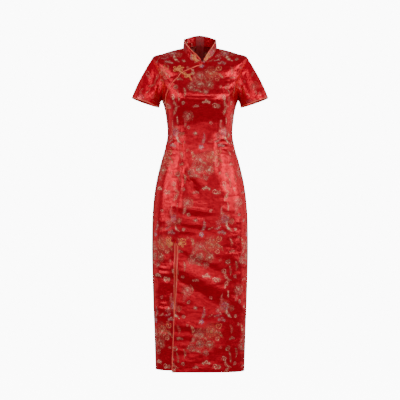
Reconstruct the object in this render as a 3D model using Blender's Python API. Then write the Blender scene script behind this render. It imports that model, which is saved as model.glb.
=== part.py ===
"""Long cheongsam dress, in metres. X runs to the wearer's left, the front faces -Y, Z is up.
The origin is at the middle of the neck, level with the shoulder seams."""

import math

import bpy
import numpy as np

WALL = 0.0016          # cloth and its lining as one wall
GAP = 0.00035          # between two pieces at a seam
PIPE = 0.0013          # radius of the piping
SQUARE = 0.03          # how much the body's rings fill out between front and side
HEM = -1.233
SHOULDER = -0.036      # level of the armhole's top
UNDERARM = -0.200      # level of the armhole's foot
OPEN_END = -0.254      # where the slanted opening meets the side seam
BUST_TIP = -0.236      # where the long dart starts
SLIT_TOP = -0.745
ZIP_END = -0.690

# One row per ring of the body: level, height at the side, how far the front and the back drop
# below the side, half width, depth in front, depth behind.
RINGS = (
    (-1.233, -1.240, -0.004, -0.006, 0.172, 0.095, 0.100),
    (-1.085, -1.085, 0.000, 0.000, 0.177, 0.099, 0.105),
    (-0.950, -0.950, 0.000, 0.000, 0.182, 0.105, 0.112),
    (-0.739, -0.739, 0.000, 0.000, 0.186, 0.114, 0.122),
    (-0.620, -0.620, 0.000, 0.000, 0.1825, 0.117, 0.127),
    (-0.530, -0.530, 0.000, 0.000, 0.172, 0.115, 0.125),
    (-0.430, -0.430, 0.000, 0.000, 0.1485, 0.107, 0.107),
    (-0.380, -0.380, 0.000, 0.000, 0.134, 0.101, 0.094),
    (-0.333, -0.333, 0.000, 0.000, 0.126, 0.098, 0.086),
    (-0.280, -0.280, 0.000, 0.000, 0.1295, 0.108, 0.090),
    (-0.225, -0.225, 0.004, 0.000, 0.139, 0.130, 0.099),
    (-0.195, -0.195, 0.010, 0.000, 0.149, 0.136, 0.104),
    (-0.140, -0.140, 0.028, 0.005, 0.158, 0.126, 0.108),
    (-0.090, -0.090, 0.045, 0.010, 0.168, 0.110, 0.105),
    (-0.036, -0.0325, 0.0755, 0.0225, 0.183, 0.098, 0.095),
    (0.005, -0.0185, 0.0758, 0.0118, 0.144, 0.090, 0.082),
    (0.046, -0.0062, 0.0745, -0.0015, 0.105, 0.081, 0.068),
    (0.087, 0.003, 0.070, -0.017, 0.066, 0.070, 0.055),
)
LEVELS = (
    0.087, 0.072, 0.057, 0.042, 0.026, 0.010, -0.006, -0.022, -0.036, -0.050, -0.068, -0.088,
    -0.108, -0.128, -0.148, -0.166, -0.182, -0.200, -0.212, -0.224, -0.236, -0.247, -0.254,
    -0.270, -0.290, -0.312, -0.333, -0.358, -0.385, -0.412, -0.440, -0.470, -0.500, -0.535,
    -0.570, -0.605, -0.640, -0.675, -0.710, -0.745, -0.762, -0.795, -0.835, -0.880, -0.925,
    -0.970, -1.015, -1.060, -1.105, -1.150, -1.192, -1.233,
)
# The slanted opening: level, angle from the centre front in degrees.
OPENING = (
    (-0.254, -88.5), (-0.247, -70.0), (-0.236, -65.0), (-0.224, -63.0), (-0.200, -60.0),
    (-0.182, -55.0), (-0.148, -46.5), (-0.115, -37.5), (-0.082, -28.5), (-0.040, -20.5),
    (0.015, -15.5), (0.057, -8.5), (0.078, 2.0), (0.087, 7.5),
)
# The long dart and the slit it runs into: level, angle of the middle panel's edge, of the side panel's.
SLASH = (
    (-1.233, -36.0, -34.0), (-1.024, -31.3, -32.6), (-0.950, -28.8, -32.0), (-0.831, -26.3, -31.0),
    (-0.762, -26.0, -30.4), (-0.745, -28.2, -30.2), (-0.736, -30.0, -30.0), (-0.661, -29.6, -29.6),
    (-0.604, -27.4, -27.4), (-0.528, -25.8, -25.8), (-0.452, -24.2, -24.2), (-0.395, -26.0, -26.0),
    (-0.327, -27.6, -27.6), (-0.274, -27.0, -27.0), (-0.236, -26.0, -26.0),
)
# Half the armhole's opening: level, degrees either side of the side line.
ARMHOLE = (
    (-0.200, 0.0), (-0.182, 17.0), (-0.166, 22.5), (-0.148, 25.5), (-0.128, 26.5), (-0.108, 25.5),
    (-0.088, 23.0), (-0.068, 18.5), (-0.050, 12.0), (-0.036, 0.0),
)
# Folds of the body: level and angle of each end, half width across the fold, height out.
FOLDS = (
    (-0.452, -24.0, -0.584, 2.0, 0.014, -0.0035),
    (-0.470, -13.0, -0.560, 8.0, 0.016, 0.0030),
    (-0.831, -27.0, -0.933, 26.0, 0.026, 0.0060),
    (-0.880, -27.0, -0.985, 20.0, 0.020, -0.0040),
    (-0.611, -27.0, -0.630, 14.0, 0.014, 0.0030),
    (-0.668, -25.0, -0.683, 12.0, 0.014, 0.0030),
    (-1.048, -30.0, -1.078, 10.0, 0.018, 0.0030),
    (-0.862, -78.0, -0.866, -33.0, 0.012, 0.0028),
    (-0.995, -80.0, -1.003, -34.0, 0.012, 0.0025),
    (-0.365, 28.0, -0.379, 80.0, 0.010, 0.0025),
    (-0.387, 30.0, -0.400, 84.0, 0.010, -0.0022),
    (-0.372, -84.0, -0.366, -34.0, 0.010, 0.0022),
    (-0.350, 116.0, -0.372, 170.0, 0.013, 0.0030),
    (-0.350, -116.0, -0.372, -170.0, 0.013, 0.0030),
    (-0.400, 112.0, -0.420, 168.0, 0.015, -0.0030),
    (-0.400, -112.0, -0.420, -168.0, 0.015, -0.0030),
    (-0.820, 150.0, -0.935, 205.0, 0.024, 0.0050),
    (-1.010, 205.0, -1.070, 140.0, 0.022, 0.0035),
    (-0.640, 100.0, -0.665, 160.0, 0.016, 0.0025),
    (-0.150, 52.0, -0.215, 34.0, 0.012, 0.0020),
)
# Sleeve folds: place round the armhole and along the sleeve of each end, half width, height.
SLEEVE_FOLDS = (
    (0.06, 0.10, 0.20, 0.85, 0.045, 0.0032),
    (0.14, 0.05, 0.30, 0.80, 0.040, -0.0028),
    (0.22, 0.05, 0.38, 0.75, 0.040, 0.0030),
    (0.94, 0.10, 0.80, 0.85, 0.045, 0.0032),
    (0.84, 0.05, 0.68, 0.80, 0.045, -0.0028),
)
# Collar height above the neck seam: degrees from the front meeting point, wearer's right, left.
COLLAR = (
    (0.0, 0.007, 0.007), (6.0, 0.017, 0.013), (14.0, 0.0265, 0.021), (24.0, 0.034, 0.0275),
    (40.0, 0.0345, 0.029), (62.0, 0.031, 0.028), (82.0, 0.030, 0.029), (112.0, 0.034, 0.034),
    (145.0, 0.037, 0.037), (187.5, 0.039, 0.039),
)
COLLAR_MEET = 7.5      # degrees the collar's front meeting point sits to the wearer's left
# Sleeve hems: middle (x, y, z), half width in the X-Z plane, half depth, slope of the hem in degrees.
SLEEVE_HEM = (0.2105, 0.002, -0.2065, 0.0565, 0.064, 19.0)
# Frog fastenings: name, level, angle, radius, lobes, turns of the coil, lean in degrees.
FROGS = (
    ("frog_chest_upper", -0.0285, -27.6, 0.0155, 5, 1.0, 20.0),
    ("frog_chest_lower", -0.060, -14.6, 0.0130, 3, 1.0, 15.0),
    ("frog_slit_side", -0.748, -35.6, 0.0125, 4, 1.0, 45.0),
    ("frog_slit_main", -0.748, -22.0, 0.0125, 4, 1.0, 45.0),
)
COLLAR_FROGS = (
    ("frog_collar_right", -13.5, 0.015, 0.0118, 4, 1.0, 0.0),
    ("frog_collar_left", 22.5, 0.0125, 0.0108, 4, 1.0, 0.0),
)
PULL_PIN = (0.0, 0.0566, 0.0490)
COLOURS = {
    "satin": (0.55, 0.012, 0.02, 1), "piping": (0.85, 0.16, 0.10, 1),
    "frog": (0.85, 0.42, 0.20, 1), "plain": (0.62, 0.01, 0.015, 1), "metal": (0.6, 0.55, 0.5, 1),
}


def smooth(xs, ys, x):
    """A smooth curve through the points, which never swings past them."""
    xs = np.asarray(xs, float)
    ys = np.asarray(ys, float)
    x = np.clip(x, xs[0], xs[-1])
    m = np.gradient(ys, xs)
    i = np.clip(np.searchsorted(xs, x) - 1, 0, len(xs) - 2)
    h = xs[i + 1] - xs[i]
    t = (x - xs[i]) / h
    return ((2 * t**3 - 3 * t**2 + 1) * ys[i] + (t**3 - 2 * t**2 + t) * h * m[i]
            + (-2 * t**3 + 3 * t**2) * ys[i + 1] + (t**3 - t**2) * h * m[i + 1])


def column(table, j):
    return [row[j] for row in table]


def between(table, level, j=1):
    rows = sorted(table)
    return float(np.interp(level, column(rows, 0), column(rows, j)))


def ring(level):
    return [float(smooth(column(RINGS, 0), column(RINGS, j), level)) for j in range(1, 7)]


def bare(level, degrees):
    """A point of the body with no folds."""
    h, front_drop, back_drop, half, front, back = ring(level)
    a = math.radians(degrees)
    c = math.cos(a)
    fill = 1 + SQUARE * math.sin(2 * a) ** 2
    depth = front if c > 0 else back
    drop = front_drop if c > 0 else back_drop
    return np.array((half * math.sin(a) * fill, -depth * c * fill, h - drop * c * c))


def bare_frame(level, degrees):
    """The point, its outward normal, and its directions round the body and up it."""
    p = bare(level, degrees)
    round_ = bare(level, degrees + 0.5) - bare(level, degrees - 0.5)
    up = bare(min(level + 0.002, 0.087), degrees) - bare(max(level - 0.002, HEM), degrees)
    n = np.cross(round_, up)
    n /= np.linalg.norm(n)
    width = np.linalg.norm(round_)
    return p, n, round_ / width, up / np.linalg.norm(up), width


def fold_height(level, degrees):
    out = 0.0
    for l0, a0, l1, a1, half, height in FOLDS:
        best = None
        for turn in (0.0, 360.0, -360.0):
            d = degrees + turn
            scale = 0.0024
            u = np.array(((a1 - a0) * scale, l1 - l0))
            q = np.array(((d - a0) * scale, level - l0))
            t = float(q @ u / (u @ u))
            off = float(np.linalg.norm(q - u * min(max(t, 0.0), 1.0)))
            if best is None or off < best[0]:
                best = (off, t)
        off, t = best
        t = min(max(t, 0.0), 1.0)
        out += height * math.exp(-(off / half) ** 2) * (0.25 + 0.75 * math.sin(math.pi * min(max(0.06 + t * 0.88, 0), 1)))
    edge = min(1.0, (0.06 + abs(level - HEM)) / 0.16)
    return out * edge * min(1.0, max(0.0, (-level - 0.03) / 0.08))


def body(level, degrees, out=0.0):
    p, n, _, _, _ = bare_frame(level, degrees)
    return p + n * (out + fold_height(level, degrees)), n


def lift(level):
    """How far the middle panel stands over the side panel at the slit."""
    return 0.0052 * min(1.0, max(0.0, (-level - 0.760) / 0.16))


def main_out(level, degrees):
    edge = between(SLASH, level, 1)
    return lift(level) * math.exp(-max(0.0, degrees - edge) / 16.0)


def clear_scene():
    for obj in list(bpy.data.objects):
        bpy.data.objects.remove(obj)
    for mesh in list(bpy.data.meshes):
        bpy.data.meshes.remove(mesh)


def material(name, key):
    made = bpy.data.materials.new(name)
    made.use_nodes = True
    shader = made.node_tree.nodes["Principled BSDF"]
    shader.inputs["Base Color"].default_value = COLOURS[key]
    shader.inputs["Roughness"].default_value = 0.45
    made.diffuse_color = COLOURS[key]
    return made


def add_mesh(name, verts, faces, key):
    mesh = bpy.data.meshes.new(name)
    mesh.from_pydata([tuple(map(float, v)) for v in verts], [], [tuple(map(int, f)) for f in faces])
    mesh.update()
    obj = bpy.data.objects.new(name, mesh)
    DRESS.objects.link(obj)
    mesh.materials.append(material(name, key))
    return obj


def slab(name, grids, key, wall=WALL):
    """One closed wall from grids of (outer point, outward normal). Points that meet are joined."""
    points, normals, index, faces = [], [], {}, []
    for grid in grids:
        ids = []
        for row in grid:
            line = []
            for p, n in row:
                mark = tuple(np.round(p, 6))
                if mark not in index:
                    index[mark] = len(points)
                    points.append(p)
                    normals.append(n)
                line.append(index[mark])
            ids.append(line)
        for r in range(len(ids) - 1):
            for c in range(len(ids[r]) - 1):
                a, b = ids[r][c], ids[r][c + 1]
                d, e = ids[r + 1][c], ids[r + 1][c + 1]
                for tri in ((a, d, b), (b, d, e)):
                    if len(set(tri)) == 3:
                        faces.append(tri)
    count = len(points)
    verts = list(points) + [p - n * wall for p, n in zip(points, normals)]
    edges = {}
    for tri in faces:
        for i in range(3):
            edges[(tri[i], tri[(i + 1) % 3])] = True
    solid = list(faces) + [tuple(i + count for i in tri[::-1]) for tri in faces]
    for a, b in edges:
        if (b, a) not in edges:
            solid.append((a, a + count, b + count))
            solid.append((a, b + count, b))
    return add_mesh(name, verts, solid, key)


def row_of(level, left, right, count, out_of=None, gap_left=GAP, gap_right=GAP, shift=0.0):
    """Points across a panel between two angles, kept half a gap off each end."""
    _, _, _, _, width = bare_frame(level, left)
    start = left + gap_left / 2 / width
    _, _, _, _, width = bare_frame(level, right)
    stop = right - gap_right / 2 / width
    line = []
    for i in range(count + 1):
        d = start + (stop - start) * i / count
        line.append(body(level, d, shift + (out_of(level, d) if out_of else 0.0)))
    return line


def armhole(level):
    if level > SHOULDER or level < UNDERARM:
        return 0.0
    return between(ARMHOLE, level)


def front_left_edge(level):
    return -90.0 if level < OPEN_END else between(OPENING, level)


def front_panel():
    side, main = [], []
    tip_left = front_left_edge(BUST_TIP)
    share = (between(SLASH, BUST_TIP) - tip_left) / (90.0 - tip_left)
    for level in LEVELS:
        left = front_left_edge(level)
        right = 90.0 - armhole(level)
        if level > BUST_TIP + 1e-6:
            split = left + (right - left) * share
            line = []
            for i in range(6):
                line.append(body(level, angle_at(level, left, right, split, i, 5, True)))
            side.append(line)
            line = []
            for i in range(17):
                line.append(body(level, angle_at(level, left, right, split, i, 16, False)))
            main.append(line)
            continue
        m, s = between(SLASH, level, 1), between(SLASH, level, 2)
        at_tip = abs(level - BUST_TIP) < 1e-6
        gap = 0.0 if at_tip else GAP
        hem_drop = 0.003 if level == HEM else 0.0
        side.append([(p + np.array((0, 0, hem_drop)), n) for p, n in
                     row_of(level, left, s, 5, None, GAP, gap)])
        main.append([(p - np.array((0, 0, hem_drop)), n) for p, n in
                     row_of(level, m, right, 16, main_out, gap, GAP)])
    slab("front", [side, main], "satin")


def angle_at(level, left, right, split, i, count, first):
    _, _, _, _, wl = bare_frame(level, left)
    _, _, _, _, wr = bare_frame(level, right)
    start = left + GAP / 2 / wl
    stop = right - GAP / 2 / wr
    if first:
        return start + (split - start) * i / count
    return split + (stop - split) * i / count


def yoke_panel():
    rows = []
    for level in LEVELS:
        if level < OPEN_END:
            break
        rows.append(row_of(level, -90.0 + armhole(level), front_left_edge(level), 9))
    slab("front_yoke", [rows], "satin")


def back_panels():
    for name, sign in (("back_left", 1), ("back_right", -1)):
        rows = []
        for level in LEVELS:
            a, b = 90.0 + armhole(level), 180.0
            if sign > 0:
                rows.append(row_of(level, a, b, 9))
            else:
                rows.append(row_of(level, -b, -a, 9))
        slab(name, [rows], "satin")


def armhole_loop(sign):
    """Levels and angles round one armhole: top, down the front, foot, up the back."""
    levels = [v for v in LEVELS if UNDERARM - 1e-6 <= v <= SHOULDER + 1e-6]
    loop = [(v, sign * (90.0 - armhole(v))) for v in levels]
    loop += [(v, sign * (90.0 + armhole(v))) for v in levels[-2:0:-1]]
    return loop


def sleeve_point(sign, k, count, loop, t):
    level, degrees = loop[k]
    start = body(level, degrees)[0] + np.array((sign * 0.0012, 0, 0))
    x, y, z, half, deep, slope = SLEEVE_HEM
    around = 2 * math.pi * sleeve_share(k, count)
    tilt = math.radians(slope)
    across = np.array((sign * math.cos(tilt), 0, math.sin(tilt)))
    end = np.array((sign * x, y, z)) + across * half * math.cos(around)
    end = end + np.array((0, -1.0, 0)) * deep * math.sin(around)
    chord = end - start
    reach = np.linalg.norm(chord)
    away = np.array((sign * 0.62, 0.0, -0.85 - 0.15 * math.cos(around)))
    away = away / np.linalg.norm(away) * reach
    down = np.array((sign * 0.33, 0.0, -0.94)) * reach
    h00, h10 = 2 * t**3 - 3 * t**2 + 1, t**3 - 2 * t**2 + t
    h01, h11 = -2 * t**3 + 3 * t**2, t**3 - t**2
    return h00 * start + h10 * away + h01 * end + h11 * down


def sleeve_share(k, count):
    return k / count


def sleeve_fold(s, t):
    out = 0.0
    for s0, t0, s1, t1, half, height in SLEEVE_FOLDS:
        u = np.array((s1 - s0, (t1 - t0) * 0.45))
        for turn in (0, 1, -1):
            q = np.array((s + turn - s0, (t - t0) * 0.45))
            w = min(max(float(q @ u / (u @ u)), 0.0), 1.0)
            off = float(np.linalg.norm(q - u * w))
            out += height * math.exp(-(off / half) ** 2) * math.sin(math.pi * (0.1 + 0.8 * w))
    return out * math.sin(math.pi * min(1.0, 0.08 + t * 0.7))


def sleeve_grid(sign, rows=9):
    loop = armhole_loop(sign)
    count = len(loop)
    grid = []
    for j in range(rows + 1):
        t = j / rows
        line = []
        for k in range(count):
            p = sleeve_point(sign, k, count, loop, t)
            ahead = sleeve_point(sign, (k + 1) % count, count, loop, t)
            behind = sleeve_point(sign, (k - 1) % count, count, loop, t)
            t0, t1 = max(0.0, t - 0.03), min(1.0, t + 0.03)
            along = sleeve_point(sign, k, count, loop, t1) - sleeve_point(sign, k, count, loop, t0)
            n = np.cross(ahead - behind, along) * sign
            n = n / np.linalg.norm(n)
            line.append((p + n * sleeve_fold(k / count, t), n))
        line.append(line[0])
        grid.append(line if sign < 0 else line[::-1])
    return grid


def sleeves():
    for name, sign in (("sleeve_left", 1), ("sleeve_right", -1)):
        grid = sleeve_grid(sign)
        slab(name, [grid], "satin")
        hem = [p for p, _ in grid[-1][:-1]]
        n = [q for _, q in grid[-1][:-1]]
        before = [p for p, _ in grid[-2][:-1]]
        path = []
        for p, q, b in zip(hem, n, before):
            on = (p - b) / np.linalg.norm(p - b)
            path.append(p - q * WALL / 2 + on * (PIPE + 0.0004))
        tube("piping_" + name, path, PIPE, "piping", closed=True)


def tube(name, path, radius, key, closed=False, sides=6, up=None):
    path = [np.asarray(p, float) for p in path]
    count = len(path)
    verts, faces = [], []
    for i, p in enumerate(path):
        a = path[(i - 1) % count] if closed or i else path[0]
        b = path[(i + 1) % count] if closed or i < count - 1 else path[-1]
        d = (b - a) / np.linalg.norm(b - a)
        if i == 0:
            ref = np.array((0.0, 0.0, 1.0)) if abs(d[2]) < 0.8 else np.array((0.0, 1.0, 0.0))
            side = np.cross(d, ref)
        side = side - d * float(side @ d)
        side /= np.linalg.norm(side)
        other = np.cross(d, side)
        for s in range(sides):
            w = 2 * math.pi * s / sides
            verts.append(p + (side * math.cos(w) + other * math.sin(w)) * radius)
    for i in range(count if closed else count - 1):
        for s in range(sides):
            a, b = i * sides + s, i * sides + (s + 1) % sides
            j = (i + 1) % count
            c, d = j * sides + s, j * sides + (s + 1) % sides
            faces += [(a, b, d), (a, d, c)]
    if closed:
        # The frame turns a little on its way round: start the last row where it fits best.
        last = np.array(verts[(count - 1) * sides:])
        first = np.array(verts[:sides])
        fits = [sum(np.linalg.norm(last[s] - first[(s + k) % sides]) for s in range(sides))
                for k in range(sides)]
        k = int(np.argmin(fits))
        faces = faces[: (count - 1) * sides * 2]
        for s in range(sides):
            a, b = (count - 1) * sides + s, (count - 1) * sides + (s + 1) % sides
            c, d = (s + k) % sides, (s + 1 + k) % sides
            faces += [(a, b, d), (a, d, c)]
    else:
        for s in range(1, sides - 1):
            faces.append((0, s + 1, s))
            base = (count - 1) * sides
            faces.append((base, base + s, base + s + 1))
    return add_mesh(name, verts, faces, key)


def collar_height(delta, right_side):
    return between(COLLAR, abs(delta), 1 if right_side else 2)


def collar_point(degrees, share, right_side, out=0.0):
    """A point of the collar: place round the neck, share of its height."""
    delta = degrees - COLLAR_MEET
    if delta > 180.0:
        delta -= 360.0
    if delta < -180.0:
        delta += 360.0
    high = collar_height(delta, right_side)
    p, n, _, _, _ = bare_frame(0.087, degrees)
    flat = np.array((n[0], n[1], 0.0))
    a = math.radians(degrees)
    flat = np.array((math.sin(a) / 0.066, -math.cos(a) / (0.070 if math.cos(a) > 0 else 0.055), 0))
    flat = flat / np.linalg.norm(flat)
    rise = 0.0005 + share * high
    lean = -0.07 * share * high / 0.034 * 0.034 * 1.6
    return p + flat * (lean + out) + np.array((0, 0, rise)), flat


def collar_angles(right_side, count=18):
    half = GAP / 2 / 0.0011
    if right_side:
        return [COLLAR_MEET - half - (COLLAR_MEET + 180.0 - 2 * half) * i / count
                for i in range(count + 1)]
    return [COLLAR_MEET + half + (180.0 - COLLAR_MEET - 2 * half) * i / count
            for i in range(count + 1)]


def collars():
    for name, right_side in (("collar_right", True), ("collar_left", False)):
        angles = collar_angles(right_side)
        grid = []
        for j in range(5):
            line = [collar_point(d, 1 - j / 4, right_side) for d in angles]
            grid.append(line[::-1] if right_side else line)
        slab(name, [grid], "satin", 0.0020)
        path = []
        angles = collar_angles(right_side)
        for i in range(1, 12):
            p, flat = collar_point(angles[i], 1.0, right_side)
            q = collar_point(angles[i - 1], 1.0, right_side)[0]
            r = collar_point(angles[i + 1], 1.0, right_side)[0]
            on = (r - q) / np.linalg.norm(r - q)
            off = np.array((0, 0, 1.0)) - on * on[2]
            path.append(p - flat * 0.0010 + off / np.linalg.norm(off) * (PIPE + 0.0009))
        tube("piping_" + name, path, PIPE, "piping")


def along_edge(levels, angle_of, out, across=0.0, rise=0.0, out_of=None):
    path = []
    for level in levels:
        d = angle_of(level)
        p, n, round_, up, _ = bare_frame(level, d)
        more = out_of(level, d) if out_of else 0.0
        path.append(p + n * (fold_height(level, d) + out + more) + round_ * across + up * rise)
    return path


def body_pipings():
    levels = [0.0845, 0.080] + [v for v in LEVELS if OPEN_END < v < 0.075]
    tube("piping_opening", along_edge(levels, front_left_edge, PIPE + 0.0006), PIPE, "piping")
    levels = [v for v in LEVELS if v <= -0.762]
    tube("piping_slit_main", along_edge(levels, lambda v: between(SLASH, v, 1), -WALL / 2,
         -(PIPE + 0.0005), 0.0, main_out), PIPE, "piping")
    tube("piping_slit_side", along_edge(levels, lambda v: between(SLASH, v, 2), -WALL / 2,
         PIPE + 0.0005), PIPE, "piping")


def underlap():
    """The plain strip behind the slit's upper part."""
    rows = []
    for level in [v for v in LEVELS if -1.110 < v <= -0.710]:
        rows.append(row_of(level, -40.0, -20.0, 6, None, 0, 0, -WALL - 0.0022))
    slab("slit_underlap", [rows], "plain", 0.0012)


def zip_tapes():
    for name, sign in (("zip_tape_left", 1), ("zip_tape_right", -1)):
        rows = []
        for rise in (1.0, 0.66, 0.33, 0.02):
            line = []
            for i in range(3):
                d = 180.0 - sign * (0.5 + 14.0 * i / 2)
                p, flat = collar_point(d if d <= 180 else d - 360, rise, sign < 0)
                line.append((p - flat * 0.0027 - np.array((0, 0, 0.001 * rise)), flat))
            rows.append(line[::-1] if sign > 0 else line)
        for level in LEVELS:
            if level < ZIP_END:
                break
            _, n, _, _, width = bare_frame(level, 180.0)
            line = []
            for i in range(3):
                d = 180.0 - sign * (0.0003 + 0.0145 * i / 2) / width
                line.append(body(level, d, -WALL - 0.0010))
            rows.append(line[::-1] if sign > 0 else line)
        slab(name, [rows], "plain", 0.0010)


def relief(name, centre, n, east, up, radius, lobes, turns, lean, conform):
    """A coiled frog: a raised pad with petals, its foot shaped to the cloth under it."""
    rings, spokes = 4, 20
    turn = math.radians(lean)
    top, foot = [], []
    for i in range(rings + 1):
        r = i / rings
        for s in range(spokes if i else 1):
            w = 2 * math.pi * s / spokes
            reach = radius * (0.80 + 0.20 * math.cos(lobes * (w - turn)))
            x, y = r * reach * math.cos(w), r * reach * math.sin(w)
            ridge = 0.5 + 0.5 * math.cos(2 * math.pi * (r * 2.0 - turns * w / (2 * math.pi)))
            high = 0.0016 + 0.0016 * ridge * (1 - 0.4 * r)
            base = conform(x, y)
            top.append(base + n * high)
            foot.append(base)
    verts = top + foot
    count = len(top)
    faces = []

    def at(i, s):
        return 0 if i == 0 else 1 + (i - 1) * spokes + s % spokes

    for i in range(rings):
        for s in range(spokes):
            if i == 0:
                faces.append((at(0, 0), at(1, s), at(1, s + 1)))
            else:
                a, b, c, d = at(i, s), at(i, s + 1), at(i + 1, s), at(i + 1, s + 1)
                faces += [(a, c, d), (a, d, b)]
    faces += [tuple(v + count for v in f[::-1]) for f in list(faces)]
    for s in range(spokes):
        a, b = at(rings, s), at(rings, s + 1)
        faces += [(a, a + count, b + count), (a, b + count, b)]
    add_mesh(name, verts, faces, "frog")


def rod(x0, x1, y, z, radius, sides=12):
    """A cylinder along X."""
    verts, faces = [], []
    for x in (x0, x1):
        for s in range(sides):
            w = 2 * math.pi * s / sides
            verts.append((x, y + radius * math.cos(w), z + radius * math.sin(w)))
    for s in range(sides):
        a, b = s, (s + 1) % sides
        faces += [(a, b, b + sides), (a, b + sides, a + sides)]
    for s in range(1, sides - 1):
        faces += [(0, s + 1, s), (sides, sides + s, sides + s + 1)]
    return verts, faces


def block(lo, hi):
    verts = [(x, y, z) for x in (lo[0], hi[0]) for y in (lo[1], hi[1]) for z in (lo[2], hi[2])]
    faces = [(0, 1, 3, 2), (4, 6, 7, 5), (0, 4, 5, 1), (2, 3, 7, 6), (0, 2, 6, 4), (1, 5, 7, 3)]
    return verts, faces


def helper(name, shape):
    verts, faces = shape
    mesh = bpy.data.meshes.new(name)
    mesh.from_pydata(verts, [], faces)
    obj = bpy.data.objects.new(name, mesh)
    CUTTERS.objects.link(obj)
    obj.hide_render = True
    obj.display_type = "WIRE"
    return obj


def combine(name, shape, others, key, place=(0.0, 0.0, 0.0)):
    obj = add_mesh(name, shape[0], shape[1], key)
    obj.location = place
    for i, (kind, other) in enumerate(others):
        step = obj.modifiers.new(f"{kind} {i}".lower(), "BOOLEAN")
        step.operation = kind
        step.solver = "EXACT"
        step.object = helper(f"{name} {i}", other)
        step.object.location = place
    return obj


def zip_slider_and_pull():
    """The slider stands on the collar's back at the top, its pull hanging from a pin along X."""
    _, y, z = PULL_PIN
    combine("zip_slider", block((-0.0034, y - 0.0027, z - 0.0062), (0.0034, y - 0.0017, z + 0.0036)), [
        ("UNION", block((-0.0034, y - 0.0020, z - 0.0013), (-0.0024, y + 0.0010, z + 0.0013))),
        ("UNION", block((0.0024, y - 0.0020, z - 0.0013), (0.0034, y + 0.0010, z + 0.0013))),
        ("UNION", rod(-0.0029, 0.0029, y, z, 0.0005)),
    ], "metal")
    combine("zip_pull", rod(-0.0020, 0.0020, 0.0, 0.0, 0.0013, 16), [
        ("UNION", block((-0.0013, -0.0004, -0.0070), (0.0013, 0.0005, -0.0009))),
        ("UNION", block((-0.0024, -0.0004, -0.0185), (0.0024, 0.0005, -0.0065))),
        ("DIFFERENCE", rod(-0.0040, 0.0040, 0.0, 0.0, 0.0008, 16)),
    ], "metal", PULL_PIN)


def frogs():
    for name, level, degrees, radius, lobes, turns, lean in FROGS:
        _, n, round_, up, width = bare_frame(level, degrees)

        def conform(x, y, level=level, degrees=degrees, width=width, name=name):
            d, v = degrees + x / width, level + y
            stand = 0.0006 + (main_out(v, d) if "main" in name else 0.0)
            if "chest" in name:
                # stands over the piping's edge
                stand += 0.0
            return body(v, d, stand)[0]

        relief(name, None, n, round_, up, radius, lobes, turns, lean, conform)
    for name, degrees, rise, radius, lobes, turns, lean in COLLAR_FROGS:
        right_side = "right" in name

        def conform(x, y, degrees=degrees, rise=rise, right_side=right_side):
            d = degrees + x / 0.00118
            delta = d - COLLAR_MEET
            high = collar_height(delta, right_side)
            share = min(max((rise + y) / high, -0.2), 1.2)
            return collar_point(d, share, right_side, 0.0005)[0]

        _, flat = collar_point(degrees, 0.5, right_side)
        relief(name, None, flat, None, None, radius, lobes, turns, lean, conform)


DRESS = bpy.data.collections.new("cheongsam dress")
CUTTERS = bpy.data.collections.new("helpers")


def main():
    clear_scene()
    bpy.context.scene.collection.children.link(DRESS)
    bpy.context.scene.collection.children.link(CUTTERS)
    CUTTERS.hide_render = True
    front_panel()
    yoke_panel()
    back_panels()
    sleeves()
    collars()
    body_pipings()
    underlap()
    zip_tapes()
    zip_slider_and_pull()
    frogs()


main()
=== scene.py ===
import math

import bpy
import numpy as np
from mathutils import Matrix


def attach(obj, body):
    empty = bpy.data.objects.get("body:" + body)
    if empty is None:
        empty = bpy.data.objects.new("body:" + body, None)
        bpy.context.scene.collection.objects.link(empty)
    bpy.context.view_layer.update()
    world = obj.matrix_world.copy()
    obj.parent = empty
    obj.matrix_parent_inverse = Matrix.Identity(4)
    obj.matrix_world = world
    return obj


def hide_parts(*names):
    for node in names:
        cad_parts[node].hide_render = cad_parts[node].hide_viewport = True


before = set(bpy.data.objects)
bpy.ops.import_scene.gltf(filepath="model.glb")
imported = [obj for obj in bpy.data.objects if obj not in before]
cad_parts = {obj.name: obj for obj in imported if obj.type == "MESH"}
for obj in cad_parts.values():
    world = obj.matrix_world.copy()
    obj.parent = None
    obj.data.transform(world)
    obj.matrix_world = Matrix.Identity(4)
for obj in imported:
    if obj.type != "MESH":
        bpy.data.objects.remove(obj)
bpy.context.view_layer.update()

bl_info = {
    "name": "Cheongsam dress",
    "version": (1, 0, 0),
    "blender": (4, 5, 0),
    "location": "View3D > Sidebar > Dress",
    "description": "Dresses the packed cheongsam: brocade cloth, piping, frogs and zip",
    "category": "Object",
}

# ---------------------------------------------------------------- the form of the dress
# How square the body's section is, and the levels of its marks.
SQUARE = 0.03
HEM = -1.233
NECK = 0.087
SHOULDER = -0.036
UNDERARM = -0.200
OPEN_END = -0.254
BUST_TIP = -0.236
# Seams: the space between two pieces' edges. Cords: radius. Walls: thickness of each kind of cloth.
GAP = 0.00002
PIPE = 0.0016
FROG_CORD = 0.0010
WALL = 0.0012
COLLAR_WALL = 0.0018
STRIP_WALL = 0.0010
TAPE_WALL = 0.0008
CORD_SIDES = 8
# Levels of the slit's top, of the underlap's two ends, and of the ends of the zip's tapes and teeth.
SLIT_TOP = -0.748
UNDERLAP_TOP = -0.710
UNDERLAP_END = -1.105
TAPE_END = -0.690
TEETH_END = -0.684
TAPE_WIDTH = 0.0145
# A zip tooth's size across, out and up.
TOOTH = (0.0030, 0.0010, 0.0022)
# The ring that the flat lengths above the bust start from, and the length across of the centre back.
FLAT_FROM = -0.12
BACK_HALF = 0.24
# Where the woven pattern starts on the cloth, across and up.
PATTERN_SHIFT = (-0.0116, -0.5215)
# How strongly the tables' folds and creases stand out.
FOLD_SHARE = 1.3
CREASE_SHARE = 1.5

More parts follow.
